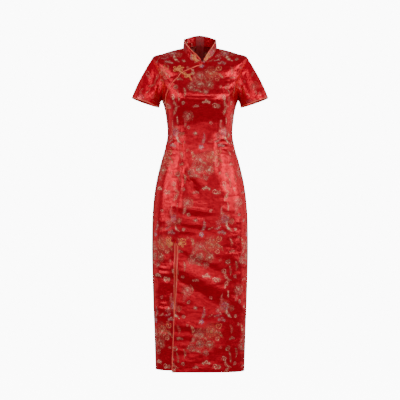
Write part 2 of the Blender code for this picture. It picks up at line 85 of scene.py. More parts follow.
# One row per ring: level, height at the side, drop in front and behind, half width, depths.
RINGS = np.array((
    (-1.233, -1.240, -0.004, -0.006, 0.172, 0.095, 0.100),
    (-1.085, -1.085, 0.000, 0.000, 0.177, 0.099, 0.105),
    (-0.950, -0.950, 0.000, 0.000, 0.182, 0.105, 0.112),
    (-0.739, -0.739, 0.000, 0.000, 0.186, 0.114, 0.122),
    (-0.620, -0.620, 0.000, 0.000, 0.1825, 0.117, 0.127),
    (-0.530, -0.530, 0.000, 0.000, 0.172, 0.115, 0.125),
    (-0.430, -0.430, 0.000, 0.000, 0.1485, 0.107, 0.107),
    (-0.380, -0.380, 0.000, 0.000, 0.134, 0.101, 0.094),
    (-0.333, -0.333, 0.000, 0.000, 0.126, 0.098, 0.086),
    (-0.280, -0.280, 0.000, 0.000, 0.1295, 0.108, 0.090),
    (-0.225, -0.225, 0.004, 0.000, 0.139, 0.130, 0.099),
    (-0.195, -0.195, 0.010, 0.000, 0.149, 0.136, 0.104),
    (-0.140, -0.140, 0.028, 0.005, 0.158, 0.126, 0.108),
    (-0.090, -0.090, 0.045, 0.010, 0.168, 0.110, 0.105),
    (-0.036, -0.0325, 0.0755, 0.0225, 0.183, 0.098, 0.095),
    (0.005, -0.0185, 0.0758, 0.0118, 0.144, 0.090, 0.082),
    (0.046, -0.0062, 0.0745, -0.0015, 0.105, 0.081, 0.068),
    (0.087, 0.003, 0.070, -0.017, 0.066, 0.070, 0.055),
))
# The slanted opening: level, angle from the centre front in degrees.
OPENING = np.array((
    (-0.254, -88.5), (-0.247, -70.0), (-0.236, -65.0), (-0.224, -63.0), (-0.200, -60.0),
    (-0.182, -55.0), (-0.148, -46.5), (-0.115, -37.5), (-0.082, -28.5), (-0.040, -20.5),
    (0.015, -15.5), (0.057, -8.5), (0.078, 2.0), (0.087, 7.5),
))
# The long dart and its slit: level, angle of the middle panel's edge, of the side panel's.
SLASH = np.array((
    (-1.233, -36.0, -34.0), (-1.024, -31.3, -32.6), (-0.950, -28.8, -32.0), (-0.831, -26.3, -31.0),
    (-0.762, -26.0, -30.4), (-0.745, -28.2, -30.2), (-0.736, -30.0, -30.0), (-0.661, -29.6, -29.6),
    (-0.604, -27.4, -27.4), (-0.528, -25.8, -25.8), (-0.452, -24.2, -24.2), (-0.395, -26.0, -26.0),
    (-0.327, -27.6, -27.6), (-0.274, -27.0, -27.0), (-0.236, -26.0, -26.0),
))
# Half the armhole's opening: level, degrees either side of the side line.
ARMHOLE = np.array((
    (-0.200, 0.0), (-0.182, 17.0), (-0.166, 22.5), (-0.148, 25.5), (-0.128, 26.5), (-0.108, 25.5),
    (-0.088, 23.0), (-0.068, 18.5), (-0.050, 12.0), (-0.036, 0.0),
))
# Main folds: level and angle of each end, half width across the fold, height out.
FOLDS = (
    (-0.448, -24.5, -0.580, 0.0, 0.012, -0.0056),
    (-0.462, -15.0, -0.556, 8.0, 0.014, 0.0040),
    (-0.838, -27.0, -0.926, 24.0, 0.022, 0.0086),
    (-0.884, -27.0, -0.985, 20.0, 0.018, -0.0060),
    (-0.611, -27.0, -0.630, 14.0, 0.012, 0.0040),
    (-0.668, -25.0, -0.683, 12.0, 0.012, 0.0040),
    (-0.790, -26.0, -0.866, 30.0, 0.016, -0.0046),
    (-1.048, -30.0, -1.078, 10.0, 0.016, 0.0042),
    (-0.862, -78.0, -0.866, -33.0, 0.010, 0.0038),
    (-0.995, -80.0, -1.003, -34.0, 0.010, 0.0036),
    (-0.365, 28.0, -0.379, 80.0, 0.010, 0.0025),
    (-0.387, 30.0, -0.400, 84.0, 0.010, -0.0022),
    (-0.372, -84.0, -0.366, -34.0, 0.010, 0.0022),
    (-0.350, 116.0, -0.372, 170.0, 0.013, 0.0030),
    (-0.350, -116.0, -0.372, -170.0, 0.013, 0.0030),
    (-0.400, 112.0, -0.420, 168.0, 0.015, -0.0030),
    (-0.400, -112.0, -0.420, -168.0, 0.015, -0.0030),
    (-0.820, 150.0, -0.935, 205.0, 0.024, 0.0050),
    (-1.010, 205.0, -1.070, 140.0, 0.022, 0.0035),
    (-0.640, 100.0, -0.665, 160.0, 0.016, 0.0025),
    (-0.150, 52.0, -0.215, 34.0, 0.012, 0.0020),
)
# Fine creases, in the same columns.
CREASES = (
    (-0.770, -25.5, -0.776, -17.0, 0.0035, 0.0010),
    (-0.792, -25.5, -0.801, -15.0, 0.0040, 0.0012),
    (-0.818, -25.5, -0.824, -18.0, 0.0035, -0.0010),
    (-0.846, -25.8, -0.858, -14.0, 0.0045, 0.0012),
    (-0.872, -26.5, -0.880, -18.0, 0.0035, 0.0010),
    (-0.902, -27.2, -0.916, -15.0, 0.0045, 0.0012),
    (-0.936, -28.0, -0.944, -19.0, 0.0035, -0.0010),
    (-0.968, -28.8, -0.980, -17.0, 0.0040, 0.0011),
    (-1.004, -30.2, -1.014, -20.0, 0.0040, 0.0010),
    (-1.060, -31.8, -1.066, -8.0, 0.0070, 0.0016),
    (-1.102, -32.8, -1.096, -12.0, 0.0060, 0.0014),
    (-1.085, -31.0, -1.082, -14.0, 0.0050, -0.0012),
    (-1.150, -33.5, -1.158, -16.0, 0.0060, 0.0010),
    (-0.590, -26.5, -0.602, 10.0, 0.0060, 0.0014),
    (-0.636, -28.0, -0.650, 2.0, 0.0055, -0.0012),
    (-0.652, -28.0, -0.662, 6.0, 0.0055, 0.0014),
    (-0.700, -29.0, -0.706, -4.0, 0.0060, 0.0012),
    (-0.500, -25.0, -0.540, -2.0, 0.0060, 0.0016),
    (-0.482, -24.5, -0.560, 10.0, 0.0050, -0.0014),
    (-0.560, 4.0, -0.612, 26.0, 0.0080, 0.0014),
    (-0.358, 34.0, -0.366, 66.0, 0.0045, 0.0014),
    (-0.376, 38.0, -0.386, 78.0, 0.0040, -0.0012),
    (-0.396, 36.0, -0.407, 74.0, 0.0045, 0.0013),
    (-0.330, 36.0, -0.338, 70.0, 0.0060, 0.0010),
    (-0.345, -74.0, -0.338, -36.0, 0.0050, 0.0012),
    (-0.392, -76.0, -0.400, -34.0, 0.0050, 0.0012),
    (-0.416, -70.0, -0.430, -33.0, 0.0060, -0.0010),
    (-0.118, 62.0, -0.176, 46.0, 0.0070, 0.0014),
    (-0.140, 64.0, -0.206, 40.0, 0.0060, -0.0012),
    (-0.112, -60.0, -0.150, -48.0, 0.0060, 0.0012),
    (-0.075, 66.0, -0.120, 54.0, 0.0070, 0.0014),
    (-0.060, -62.0, -0.096, -46.0, 0.0070, 0.0012),
    (-0.192, -25.0, -0.197, 27.0, 0.0090, 0.0026),
    (-0.178, -22.0, -0.181, 24.0, 0.0045, -0.0008),
    (-0.262, 34.0, -0.282, 60.0, 0.0060, 0.0009),
    (-0.262, -34.0, -0.286, -62.0, 0.0060, 0.0009),
    (-0.905, -24.0, -0.962, 12.0, 0.0070, 0.0013),
    (-0.850, -22.0, -0.905, 8.0, 0.0070, -0.0012),
    (-0.790, 30.0, -0.840, 70.0, 0.0120, 0.0012),
    (-0.960, 40.0, -1.020, 80.0, 0.0140, 0.0014),
    (-1.130, 10.0, -1.150, 60.0, 0.0140, 0.0012),
    (-0.840, -70.0, -0.846, -36.0, 0.0050, 0.0012),
    (-0.884, -74.0, -0.880, -38.0, 0.0050, -0.0011),
    (-0.976, -72.0, -0.982, -38.0, 0.0050, 0.0012),
    (-1.030, -76.0, -1.022, -36.0, 0.0060, 0.0012),
    (-1.090, -74.0, -1.098, -38.0, 0.0070, 0.0010),
    (-0.340, 124.0, -0.352, 172.0, 0.0060, 0.0014),
    (-0.364, 118.0, -0.384, 176.0, 0.0060, -0.0014),
    (-0.388, 122.0, -0.402, 176.0, 0.0060, 0.0014),
    (-0.340, -124.0, -0.354, -172.0, 0.0060, 0.0014),
    (-0.366, -118.0, -0.382, -176.0, 0.0060, -0.0014),
    (-0.390, -122.0, -0.406, -176.0, 0.0060, 0.0014),
    (-0.430, 130.0, -0.470, 176.0, 0.0080, 0.0014),
    (-0.430, -130.0, -0.462, -176.0, 0.0080, 0.0014),
    (-0.740, 120.0, -0.800, 176.0, 0.0120, 0.0014),
    (-0.870, 150.0, -0.960, 200.0, 0.0080, 0.0016),
    (-0.760, -112.0, -0.840, -160.0, 0.0120, 0.0014),
    (-0.120, 118.0, -0.170, 140.0, 0.0080, 0.0014),
    (-0.120, -118.0, -0.170, -140.0, 0.0080, 0.0014),
)
# Troughs where the darts and the long seams pull the cloth in, in the same columns.
PINCHES = (
    (-0.224, 29.0, -0.327, 31.0, 0.0045, -0.0014),
    (-0.327, 31.0, -0.395, 28.0, 0.0045, -0.0028),
    (-0.395, 28.0, -0.470, 25.0, 0.0050, -0.0028),
    (-0.250, -33.0, -0.335, -35.0, 0.0045, -0.0014),
    (-0.335, -35.0, -0.420, -27.0, 0.0050, -0.0034),
    (-0.420, -27.0, -0.520, -24.0, 0.0060, -0.0036),
    (-0.520, -24.0, -0.640, -26.5, 0.0045, -0.0012),
    (-0.300, 148.0, -0.480, 152.0, 0.0050, -0.0018),
    (-0.300, -148.0, -0.480, -152.0, 0.0050, -0.0018),
)
# The sleeves' folds and creases: share round and share down of each end, half width, height out.
SLEEVE_FOLDS = (
    (0.05, 0.06, 0.17, 0.80, 0.034, 0.0044),
    (0.12, 0.04, 0.27, 0.72, 0.026, -0.0046),
    (0.19, 0.05, 0.34, 0.80, 0.030, 0.0046),
    (0.27, 0.08, 0.40, 0.60, 0.024, -0.0036),
    (0.94, 0.10, 0.80, 0.85, 0.045, 0.0032),
    (0.84, 0.05, 0.68, 0.80, 0.045, -0.0028),
)
SLEEVE_CREASES = (
    (0.02, 0.20, 0.10, 0.80, 0.014, 0.0010),
    (0.08, 0.10, 0.20, 0.70, 0.016, 0.0013),
    (0.17, 0.06, 0.27, 0.55, 0.014, -0.0012),
    (0.24, 0.10, 0.34, 0.70, 0.016, 0.0013),
    (0.30, 0.20, 0.42, 0.62, 0.014, 0.0011),
    (0.96, 0.20, 0.88, 0.80, 0.016, 0.0011),
    (0.86, 0.10, 0.74, 0.70, 0.016, 0.0013),
    (0.78, 0.06, 0.66, 0.55, 0.014, -0.0011),
)
# Collar height above the neck seam: degrees from the front meeting point, right half, left half.
COLLAR = np.array((
    (0.0, 0.007, 0.007), (6.0, 0.017, 0.013), (14.0, 0.0265, 0.021), (24.0, 0.034, 0.0275),
    (40.0, 0.0345, 0.029), (62.0, 0.031, 0.028), (82.0, 0.030, 0.029), (112.0, 0.034, 0.034),
    (145.0, 0.037, 0.037), (187.5, 0.039, 0.039),
))
COLLAR_MEET = 7.5
# The sleeve's hem: its middle, half its width, half its depth, and its slope in degrees.
SLEEVE_HEM = (0.2105, 0.002, -0.2065, 0.0565, 0.064, 19.0)
SLEEVE_ROWS = 44
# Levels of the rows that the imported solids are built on.
LEVELS_CAD = np.array((
    0.087, 0.072, 0.057, 0.042, 0.026, 0.010, -0.006, -0.022, -0.036, -0.050, -0.068, -0.088,
    -0.108, -0.128, -0.148, -0.166, -0.182, -0.200, -0.212, -0.224, -0.236, -0.247, -0.254,
    -0.270, -0.290, -0.312, -0.333, -0.358, -0.385, -0.412, -0.440, -0.470, -0.500, -0.535,
    -0.570, -0.605, -0.640, -0.675, -0.710, -0.745, -0.762, -0.795, -0.835, -0.880, -0.925,
    -0.970, -1.015, -1.060, -1.105, -1.150, -1.192, -1.233,
))


def smooth(xs, ys, x):
    """A smooth curve through the points, for an array of places."""
    x = np.clip(x, xs[0], xs[-1])
    m = np.gradient(ys, xs)
    i = np.clip(np.searchsorted(xs, x) - 1, 0, len(xs) - 2)
    h = xs[i + 1] - xs[i]
    t = (x - xs[i]) / h
    return ((2 * t**3 - 3 * t**2 + 1) * ys[i] + (t**3 - 2 * t**2 + t) * h * m[i]
            + (-2 * t**3 + 3 * t**2) * ys[i + 1] + (t**3 - t**2) * h * m[i + 1])


def look_up(table, level, j=1):
    """A table's column at a level, in straight lines between its rows."""
    return np.interp(level, table[:, 0], table[:, j])


def bare(level, degrees):
    """Points of the body with no folds; level and degrees are arrays of one shape."""
    h, front_drop, back_drop, half, front, back = (
        smooth(RINGS[:, 0], RINGS[:, j], level) for j in range(1, 7))
    a = np.radians(degrees)
    c = np.cos(a)
    fill = 1 + SQUARE * np.sin(2 * a) ** 2
    depth = np.where(c > 0, front, back)
    drop = np.where(c > 0, front_drop, back_drop)
    return np.stack((half * np.sin(a) * fill, -depth * c * fill, h - drop * c * c), -1)


def unit(v):
    """The same directions, one long."""
    return v / np.maximum(np.linalg.norm(v, axis=-1, keepdims=True), 1e-12)


def bare_frame(level, degrees):
    """Points, outward normals, directions round the body, metres per degree."""
    level, degrees = np.broadcast_arrays(np.asarray(level, float), np.asarray(degrees, float))
    p = bare(level, degrees)
    turn = bare(level, degrees + 0.5) - bare(level, degrees - 0.5)
    up = bare(np.minimum(level + 0.002, NECK), degrees) - bare(np.maximum(level - 0.002, HEM), degrees)
    n = unit(np.cross(turn, up))
    return p, n, unit(turn), np.linalg.norm(turn, axis=-1)


def ridge(level, degrees, table):
    """How far the folds of a table stand out."""
    out = np.zeros(np.shape(level))
    for l0, a0, l1, a1, half, height in table:
        scale = 0.0024
        ux, uy = (a1 - a0) * scale, l1 - l0
        best = np.full(np.shape(level), 9.0)
        best_t = np.zeros(np.shape(level))
        for turn in (0.0, 360.0, -360.0):
            qx, qy = (degrees + turn - a0) * scale, level - l0
            t = np.clip((qx * ux + qy * uy) / (ux * ux + uy * uy), 0.0, 1.0)
            off = np.hypot(qx - ux * t, qy - uy * t)
            nearer = off < best
            best = np.where(nearer, off, best)
            best_t = np.where(nearer, t, best_t)
        along = 0.25 + 0.75 * np.sin(math.pi * (0.06 + best_t * 0.88))
        out += height * np.exp(-(best / half) ** 2) * along
    return out


def fold_height(level, degrees):
    """How far all folds and creases stand out; folds die away at the hem and the neck."""
    edge = np.minimum(1.0, (0.06 + np.abs(level - HEM)) / 0.16)
    edge = edge * np.clip((-level - 0.03) / 0.08, 0.0, 1.0)
    folds = ridge(level, degrees, FOLDS) * edge * FOLD_SHARE
    return folds + ridge(level, degrees, CREASES + PINCHES) * CREASE_SHARE


def body(level, degrees, out=0.0):
    """Points and normals of the dress with its folds, a distance out from its outer face."""
    p, n, _, _ = bare_frame(level, degrees)
    level, degrees = np.broadcast_arrays(np.asarray(level, float), np.asarray(degrees, float))
    return p + n * np.expand_dims(out + fold_height(level, degrees), -1), n


def main_out(level, degrees):
    """How far the middle panel stands off below the slit's top, most at the slit's edge."""
    lift = 0.0052 * np.clip((-level - 0.760) / 0.16, 0.0, 1.0)
    edge = look_up(SLASH, level)
    return lift * np.exp(-np.maximum(0.0, degrees - edge) / 16.0)


def opening_angle(level):
    """The slanted opening's angle; below it the front reaches the side line."""
    return np.where(level < OPEN_END, -90.0, look_up(OPENING, level))


def armhole(level):
    """Half the armhole's width in degrees, at the levels that it spans."""
    inside = (level <= SHOULDER) & (level >= UNDERARM)
    return np.where(inside, look_up(ARMHOLE, level), 0.0)


# ---------------------------------------------------------------- lengths along the cloth
ARC_ANGLES = np.arange(-200.0, 200.5, 2.0)


def arc(level, degrees):
    """Length round the body from the centre front, in metres."""
    level = np.asarray(level, float)
    grid_l = np.repeat(level[:, None], len(ARC_ANGLES), 1)
    grid_a = np.repeat(ARC_ANGLES[None], len(level), 0)
    p = bare(grid_l, grid_a)
    step = np.linalg.norm(np.diff(p, axis=1), axis=-1)
    total = np.concatenate((np.zeros((len(level), 1)), np.cumsum(step, 1)), 1)
    total -= total[:, [int(np.argmin(np.abs(ARC_ANGLES)))]]
    return np.stack([np.interp(degrees[i], ARC_ANGLES, total[i]) for i in range(len(level))])


SPINE = np.linspace(HEM, NECK, 400)


def rise(level, degrees):
    """Length up the body from the hem along one line, in metres."""
    p = bare(SPINE, np.full(len(SPINE), degrees))
    total = np.concatenate(([0.0], np.cumsum(np.linalg.norm(np.diff(p, axis=0), axis=-1))))
    return np.interp(level, SPINE, total)


def spaced(count):
    """Shares across a panel, closer together at its two edges."""
    s = np.linspace(0.0, 1.0, count + 1)
    return s - 0.11 * np.sin(2 * math.pi * s)


def finer(levels, times):
    """The same levels with more between them."""
    parts = [np.linspace(a, b, times, endpoint=False) for a, b in zip(levels[:-1], levels[1:])]
    return np.concatenate(parts + [levels[-1:]])


def even_levels(high, low, step, keep=()):
    """Levels about a step apart that pass through the levels to keep."""
    marks = [high] + [k for k in keep if low < k < high] + [low]
    rows = []
    for a, b in zip(marks[:-1], marks[1:]):
        count = max(1, int(round((a - b) / step)))
        rows.append(np.linspace(a, b, count, endpoint=False))
    return np.concatenate(rows + [np.array([low])])


# ---------------------------------------------------------------- making meshes
def to_mesh(name, verts, faces, uvs, material, smooth_angle=50.0):
    """A mesh object from arrays; faces are quads or triangles with a uv for each corner."""
    mesh = bpy.data.meshes.new(name)
    mesh.from_pydata([tuple(v) for v in np.asarray(verts).tolist()], [], [tuple(f) for f in faces])
    layer = mesh.uv_layers.new(name="cloth")
    layer.data.foreach_set("uv", np.asarray(uvs, np.float32).reshape(-1))
    mesh.materials.append(material)
    mesh.validate()
    mesh.update()
    obj = bpy.data.objects.new(name, mesh)
    bpy.context.scene.collection.objects.link(obj)
    bpy.ops.object.select_all(action="DESELECT")
    bpy.context.view_layer.objects.active = obj
    obj.select_set(True)
    bpy.ops.object.shade_smooth_by_angle(angle=math.radians(smooth_angle))
    obj.select_set(False)
    return obj


def slab(name, grids, material, wall):
    """A closed cloth wall from grids of outer points, outward normals and cloth lengths."""
    points = np.concatenate([g[0].reshape(-1, 3) for g in grids])
    normals = np.concatenate([g[1].reshape(-1, 3) for g in grids])
    lengths = np.concatenate([g[2].reshape(-1, 2) for g in grids])
    _, first, index = np.unique(np.round(points, 6), axis=0, return_index=True, return_inverse=True)
    index = index.reshape(-1)
    count = len(first)
    verts = np.concatenate((points[first], points[first] - normals[first] * wall))
    quads, corner = [], []
    start = 0
    for g in grids:
        rows, cols = g[0].shape[:2]
        ids = start + np.arange(rows * cols).reshape(rows, cols)
        q = np.stack((ids[:-1, :-1], ids[1:, :-1], ids[1:, 1:], ids[:-1, 1:]), -1).reshape(-1, 4)
        corner.append(q)
        start += rows * cols
    corner = np.concatenate(corner)
    quads = index[corner]
    faces, uvs, edges = [], [], {}
    for q, c in zip(quads.tolist(), corner.tolist()):
        keep = [i for i in range(4) if q[i] != q[i - 1]]
        if len(keep) < 3:
            continue
        f = [q[i] for i in keep]
        t = [c[i] for i in keep]
        faces.append(f)
        uvs += t
        for i in range(len(f)):
            edges[(f[i], f[(i + 1) % len(f)])] = (t[i], t[(i + 1) % len(f)])
    outer = len(faces)
    place = 0
    inner_uvs = []
    for f in faces[:outer]:
        n = len(f)
        faces.append([v + count for v in f[::-1]])
        inner_uvs += uvs[place:place + n][::-1]
        place += n
    uvs += inner_uvs
    for (a, b), (ta, tb) in edges.items():
        if (b, a) not in edges:
            faces.append([a, a + count, b + count, b])
            uvs += [ta, ta, tb, tb]
    return to_mesh(name, verts, faces, lengths[uvs], material)


def tube_arrays(path, radius, closed=False, normals=None):
    """Points, faces and lengths of a cord along a path, its sides kept to the normals if given."""
    path = np.asarray(path, float)
    count, sides = len(path), CORD_SIDES
    if closed:
        ahead, behind = np.roll(path, -1, 0), np.roll(path, 1, 0)
    else:
        ahead = np.concatenate((path[1:], path[-1:]))
        behind = np.concatenate((path[:1], path[:-1]))
    d = unit(ahead - behind)
    if normals is None:
        side = np.zeros_like(path)
        ref = np.array((0.0, 0.0, 1.0)) if abs(d[0][2]) < 0.8 else np.array((0.0, 1.0, 0.0))
        last = np.cross(d[0], ref)
        for i in range(count):
            last = last - d[i] * (last @ d[i])
            last = last / np.linalg.norm(last)
            side[i] = last
        other = np.cross(d, side)
    else:
        other = unit(normals - d * np.sum(normals * d, -1, keepdims=True))
        side = np.cross(other, d)
    radius = np.broadcast_to(np.asarray(radius, float), (count,))
    w = 2 * math.pi * np.arange(sides) / sides
    verts = (path[:, None] + (side[:, None] * np.cos(w)[None, :, None]
             + other[:, None] * np.sin(w)[None, :, None]) * radius[:, None, None])
    verts = verts.reshape(-1, 3)
    run = np.concatenate(([0.0], np.cumsum(np.linalg.norm(np.diff(path, axis=0), axis=-1))))
    faces, uvs = [], []
    turn = 0
    if closed and normals is None:
        first, last = verts[:sides], verts[-sides:]
        turn = int(np.argmin([np.sum(np.linalg.norm(last - np.roll(first, -k, 0), axis=-1))
                              for k in range(sides)]))
    for i in range(count if closed else count - 1):
        for s in range(sides):
            a, b = i * sides + s, i * sides + (s + 1) % sides
            j = (i + 1) % count
            k = turn if j == 0 else 0
            c, e = j * sides + (s + k) % sides, j * sides + (s + 1 + k) % sides
            faces.append((a, b, e, c))
            u0, u1 = run[i], run[i + 1] if i + 1 < count else run[-1] + 0.001
            uvs += [(u0, s / sides), (u0, (s + 1) / sides), (u1, (s + 1) / sides), (u1, s / sides)]
    if not closed:
        faces.append(tuple(range(sides))[::-1])
        uvs += [(0.0, s / sides) for s in range(sides)]
        base = (count - 1) * sides
        faces.append(tuple(base + s for s in range(sides)))
        uvs += [(run[-1], s / sides) for s in range(sides)]
    return verts, faces, uvs


def join_arrays(parts):
    """Several meshes' points, faces and lengths as one."""
    verts, faces, uvs, start = [], [], [], 0
    for v, f, t in parts:
        verts.append(v)
        faces += [tuple(i + start for i in face) for face in f]
        uvs += t
        start += len(v)
    return np.concatenate(verts), faces, uvs


def cord_mesh(name, paths, radius, material, closed=False, normals=None):
    """A cord along each of the paths, as one piece."""
    parts = []
    for i, path in enumerate(paths):
        flat_to = None if normals is None else normals[i]
        parts.append(tube_arrays(path, radius, closed, flat_to))
    verts, faces, uvs = join_arrays(parts)
    return to_mesh(name, verts, faces, uvs, material, 60.0)


# ---------------------------------------------------------------- shader groups
def linear(r, g, b):
    """A colour as the eye names it, turned into the shader's linear values."""
    def one(c):
        return c / 12.92 if c <= 0.04045 else ((c + 0.055) / 1.055) ** 2.4
    return (one(r), one(g), one(b), 1.0)


class Wiring:
    """Adds nodes to a tree and joins them, so that a formula reads as one line."""

    def __init__(self, tree):
        self.tree = tree

    def node(self, kind, **settings):
        """A new node with its settings."""
        made = self.tree.nodes.new(kind)
        for key, value in settings.items():
            setattr(made, key, value)
        return made

    def put(self, socket, value):
        """Joins an output to a socket, or sets the socket's own value."""
        if hasattr(value, "is_output"):
            self.tree.links.new(value, socket)
        elif value is not None:
            socket.default_value = value

    def sum(self, operation, *values, clamp=False):
        """One step of arithmetic on numbers."""
        made = self.node("ShaderNodeMath", operation=operation, use_clamp=clamp)
        for socket, value in zip(made.inputs, values):
            self.put(socket, value)
        return made.outputs[0]

    def vec(self, operation, *values):
        """One step of arithmetic on places."""
        made = self.node("ShaderNodeVectorMath", operation=operation)
        for socket, value in zip(made.inputs, values):
            self.put(socket, value)
        scalar = operation in ("LENGTH", "DISTANCE", "DOT_PRODUCT")
        return made.outputs[1 if scalar else 0]

    def step(self, value, low, high, out_low=0.0, out_high=1.0):
        """A smooth step from one value to another between two marks."""
        made = self.node("ShaderNodeMapRange", interpolation_type="SMOOTHSTEP")
        for key, one in (("Value", value), ("From Min", low), ("From Max", high),
                         ("To Min", out_low), ("To Max", out_high)):
            self.put(made.inputs[key], one)
        return made.outputs[0]

    def mix(self, share, a, b):
        """A share of the way from one colour to another."""
        made = self.node("ShaderNodeMix", data_type="RGBA")
        self.put(made.inputs[0], share)
        self.put(made.inputs[6], a)
        self.put(made.inputs[7], b)
        return made.outputs[2]

    def noise(self, vector, detail):
        """A noise node at the scale that the place already has."""
        made = self.node("ShaderNodeTexNoise")
        made.inputs["Scale"].default_value = 1.0
        made.inputs["Detail"].default_value = detail
        self.put(made.inputs["Vector"], vector)
        return made

    def bump(self, height, strength, distance, normal=None):
        """A bumped normal, on another one if given."""
        made = self.node("ShaderNodeBump")
        made.inputs["Strength"].default_value = strength
        made.inputs["Distance"].default_value = distance
        self.put(made.inputs["Height"], height)
        self.put(made.inputs["Normal"], normal)
        return made.outputs[0]

    def split(self, vector):
        """A place's lengths across and up."""
        made = self.node("ShaderNodeSeparateXYZ")
        self.put(made.inputs[0], vector)
        return made.outputs[0], made.outputs[1]


def new_group(name, inputs, outputs):
    """A shader node group with its sockets; gives the wiring and the input and output nodes."""
    tree = bpy.data.node_groups.new(name, "ShaderNodeTree")
    for label, kind, default in inputs:
        socket = tree.interface.new_socket(name=label, in_out="INPUT", socket_type=kind)
        if default is not None:
            socket.default_value = default
    for label, kind in outputs:
        tree.interface.new_socket(name=label, in_out="OUTPUT", socket_type=kind)
    w = Wiring(tree)
    return w, w.node("NodeGroupInput"), w.node("NodeGroupOutput")


FLOAT, VECTOR, COLOUR = "NodeSocketFloat", "NodeSocketVector", "NodeSocketColor"
MOTIF_OUT = (("Colour", COLOUR), ("Mask", FLOAT))


class Motifs:
    """The motifs of one layer of the pattern, from which each spot of cloth takes the nearest."""

    def __init__(self, w, cloth, motifs):
        self.w = w
        self.count = len(motifs)
        best, far = None, None
        for i, (_, x, y, _, size, _, _) in enumerate(motifs):
            s = 1000.0 / size
            # The last number tells the motifs apart; it is too small to change the distance.
            tag = i * 0.0001
            moved = w.vec("MULTIPLY_ADD", cloth, (s, s, 0), (-x * s / 1000, -y * s / 1000, 0))
            half = (TILE[0] * s / 2, TILE[1] * s / 2, tag)
            spot = w.vec("WRAP", moved, half, (-half[0], -half[1], tag))
            away = w.vec("LENGTH", spot)
            if best is None:
                best, far = spot, away
                continue
            closer = w.sum("LESS_THAN", away, far)
            picked = w.node("ShaderNodeMix", data_type="VECTOR")
            w.put(picked.inputs[0], closer)
            w.put(picked.inputs[4], best)
            w.put(picked.inputs[5], spot)
            best = picked.outputs[1]
            far = w.sum("MINIMUM", away, far)
        self.far = far
        parts = w.node("ShaderNodeSeparateXYZ")
        w.put(parts.inputs[0], best)
        self.number = w.sum("MULTIPLY_ADD", parts.outputs[2], 10000.0 / self.count, 0.5 / self.count)
        turn = self.look([(m[3] / 360.0 % 1.0, 0, 0, 1) for m in motifs])[0]
        turned = w.node("ShaderNodeVectorRotate", rotation_type="Z_AXIS")
        w.put(turned.inputs["Vector"], best)
        angle = w.node("ShaderNodeSeparateColor")
        w.put(angle.inputs[0], turn)
        w.put(turned.inputs["Angle"], w.sum("MULTIPLY", angle.outputs[0], -2 * math.pi))
        self.spot = turned.outputs[0]

    def look(self, rows):
        """The row of the nearest motif, as a colour and a fourth number."""
        ramp = self.w.node("ShaderNodeValToRGB")
        ramp.color_ramp.interpolation = "CONSTANT"
        stops = ramp.color_ramp.elements
        for i, row in enumerate(rows):
            stop = stops[i] if i < 2 else stops.new(i / self.count)
            stop.position = i / self.count
            stop.color = row
        self.w.put(ramp.inputs[0], self.number)
        return ramp.outputs[0], ramp.outputs[1]


def flower(w, spot, petals, depth, layers, swirl, outer, inner, heart):
    """A round flower of petals in two tones with lines between them and a heart."""
    x, y = w.split(spot)
    r = w.vec("LENGTH", spot)
    a = w.sum("MULTIPLY_ADD", r, swirl, w.sum("ARCTAN2", y, x))
    lobe = w.sum("ABSOLUTE", w.sum("COSINE", w.sum("MULTIPLY", a, petals)))
    lobe = w.sum("POWER", lobe, 0.6)
    reach = w.sum("MULTIPLY_ADD", w.sum("SUBTRACT", lobe, 1.0), depth, 1.0)
    share = w.sum("DIVIDE", r, reach)
    inside = w.step(share, 1.0, 0.93)
    layer = w.sum("FRACT", w.sum("MULTIPLY", share, layers))
    line = w.step(layer, 0.45, 0.62)
    between = w.step(lobe, 0.36, 0.56)
    colour = w.mix(w.step(layer, 0.15, 0.75), inner, outer)
    centre = w.step(r, 0.24, 0.19)
    colour = w.mix(centre, colour, heart)
    drawn = w.sum("MAXIMUM", w.sum("MULTIPLY", line, between), centre)
    return colour, w.sum("MULTIPLY", inside, w.sum("MULTIPLY_ADD", drawn, 0.82, 0.10))


def leaf(w, spot, slim, bend, barbs, taper, outer, inner):
    """A long bent leaf or plume with a rib and slanted barbs."""
    x, y = w.split(spot)
    square = w.sum("MULTIPLY", x, x)
    off = w.sum("SUBTRACT", y, w.sum("MULTIPLY", bend, w.sum("SUBTRACT", square, 0.4)))
    end = w.sum("SUBTRACT", 1.0, square, clamp=True)
    wide = w.sum("MULTIPLY", w.sum("POWER", end, 0.7), slim)
    wide = w.sum("MULTIPLY", wide, w.sum("MULTIPLY_ADD", x, taper, 1.0))
    share = w.sum("DIVIDE", w.sum("ABSOLUTE", off), w.sum("ADD", wide, 0.0001))
    inside = w.step(share, 1.0, 0.86)
    slant = w.sum("MULTIPLY_ADD", x, barbs, w.sum("MULTIPLY", share, -3.4))
    gaps = w.step(w.sum("SINE", slant), -0.3, 0.4)
    rib = w.step(share, 0.20, 0.10)
    edge = w.step(share, 0.70, 0.84)
    colour = w.mix(w.step(share, 0.35, 0.85), inner, outer)
    drawn = w.sum("MAXIMUM", w.sum("MAXIMUM", gaps, edge), rib)
    return colour, w.sum("MULTIPLY", inside, w.sum("MULTIPLY_ADD", drawn, 0.78, 0.10))


def cloud(w, spot, outer, inner):
    """A small cloud of three lobes drawn in rounds."""
    far = None
    for centre, radius in (((-0.58, -0.08, 0), 0.36), ((0.0, 0.10, 0), 0.46), ((0.58, -0.08, 0), 0.36)):
        one = w.sum("SUBTRACT", w.vec("DISTANCE", spot, centre), radius)
        far = one if far is None else w.sum("SMOOTH_MIN", far, one, 0.12)
    inside = w.step(far, 0.03, -0.03)
    line = w.step(w.sum("SINE", w.sum("MULTIPLY", far, 24.0)), -0.5, 0.2)
    colour = w.mix(w.step(far, -0.25, -0.05), inner, outer)
    return colour, w.sum("MULTIPLY", inside, w.sum("MULTIPLY_ADD", line, 0.84, 0.08))


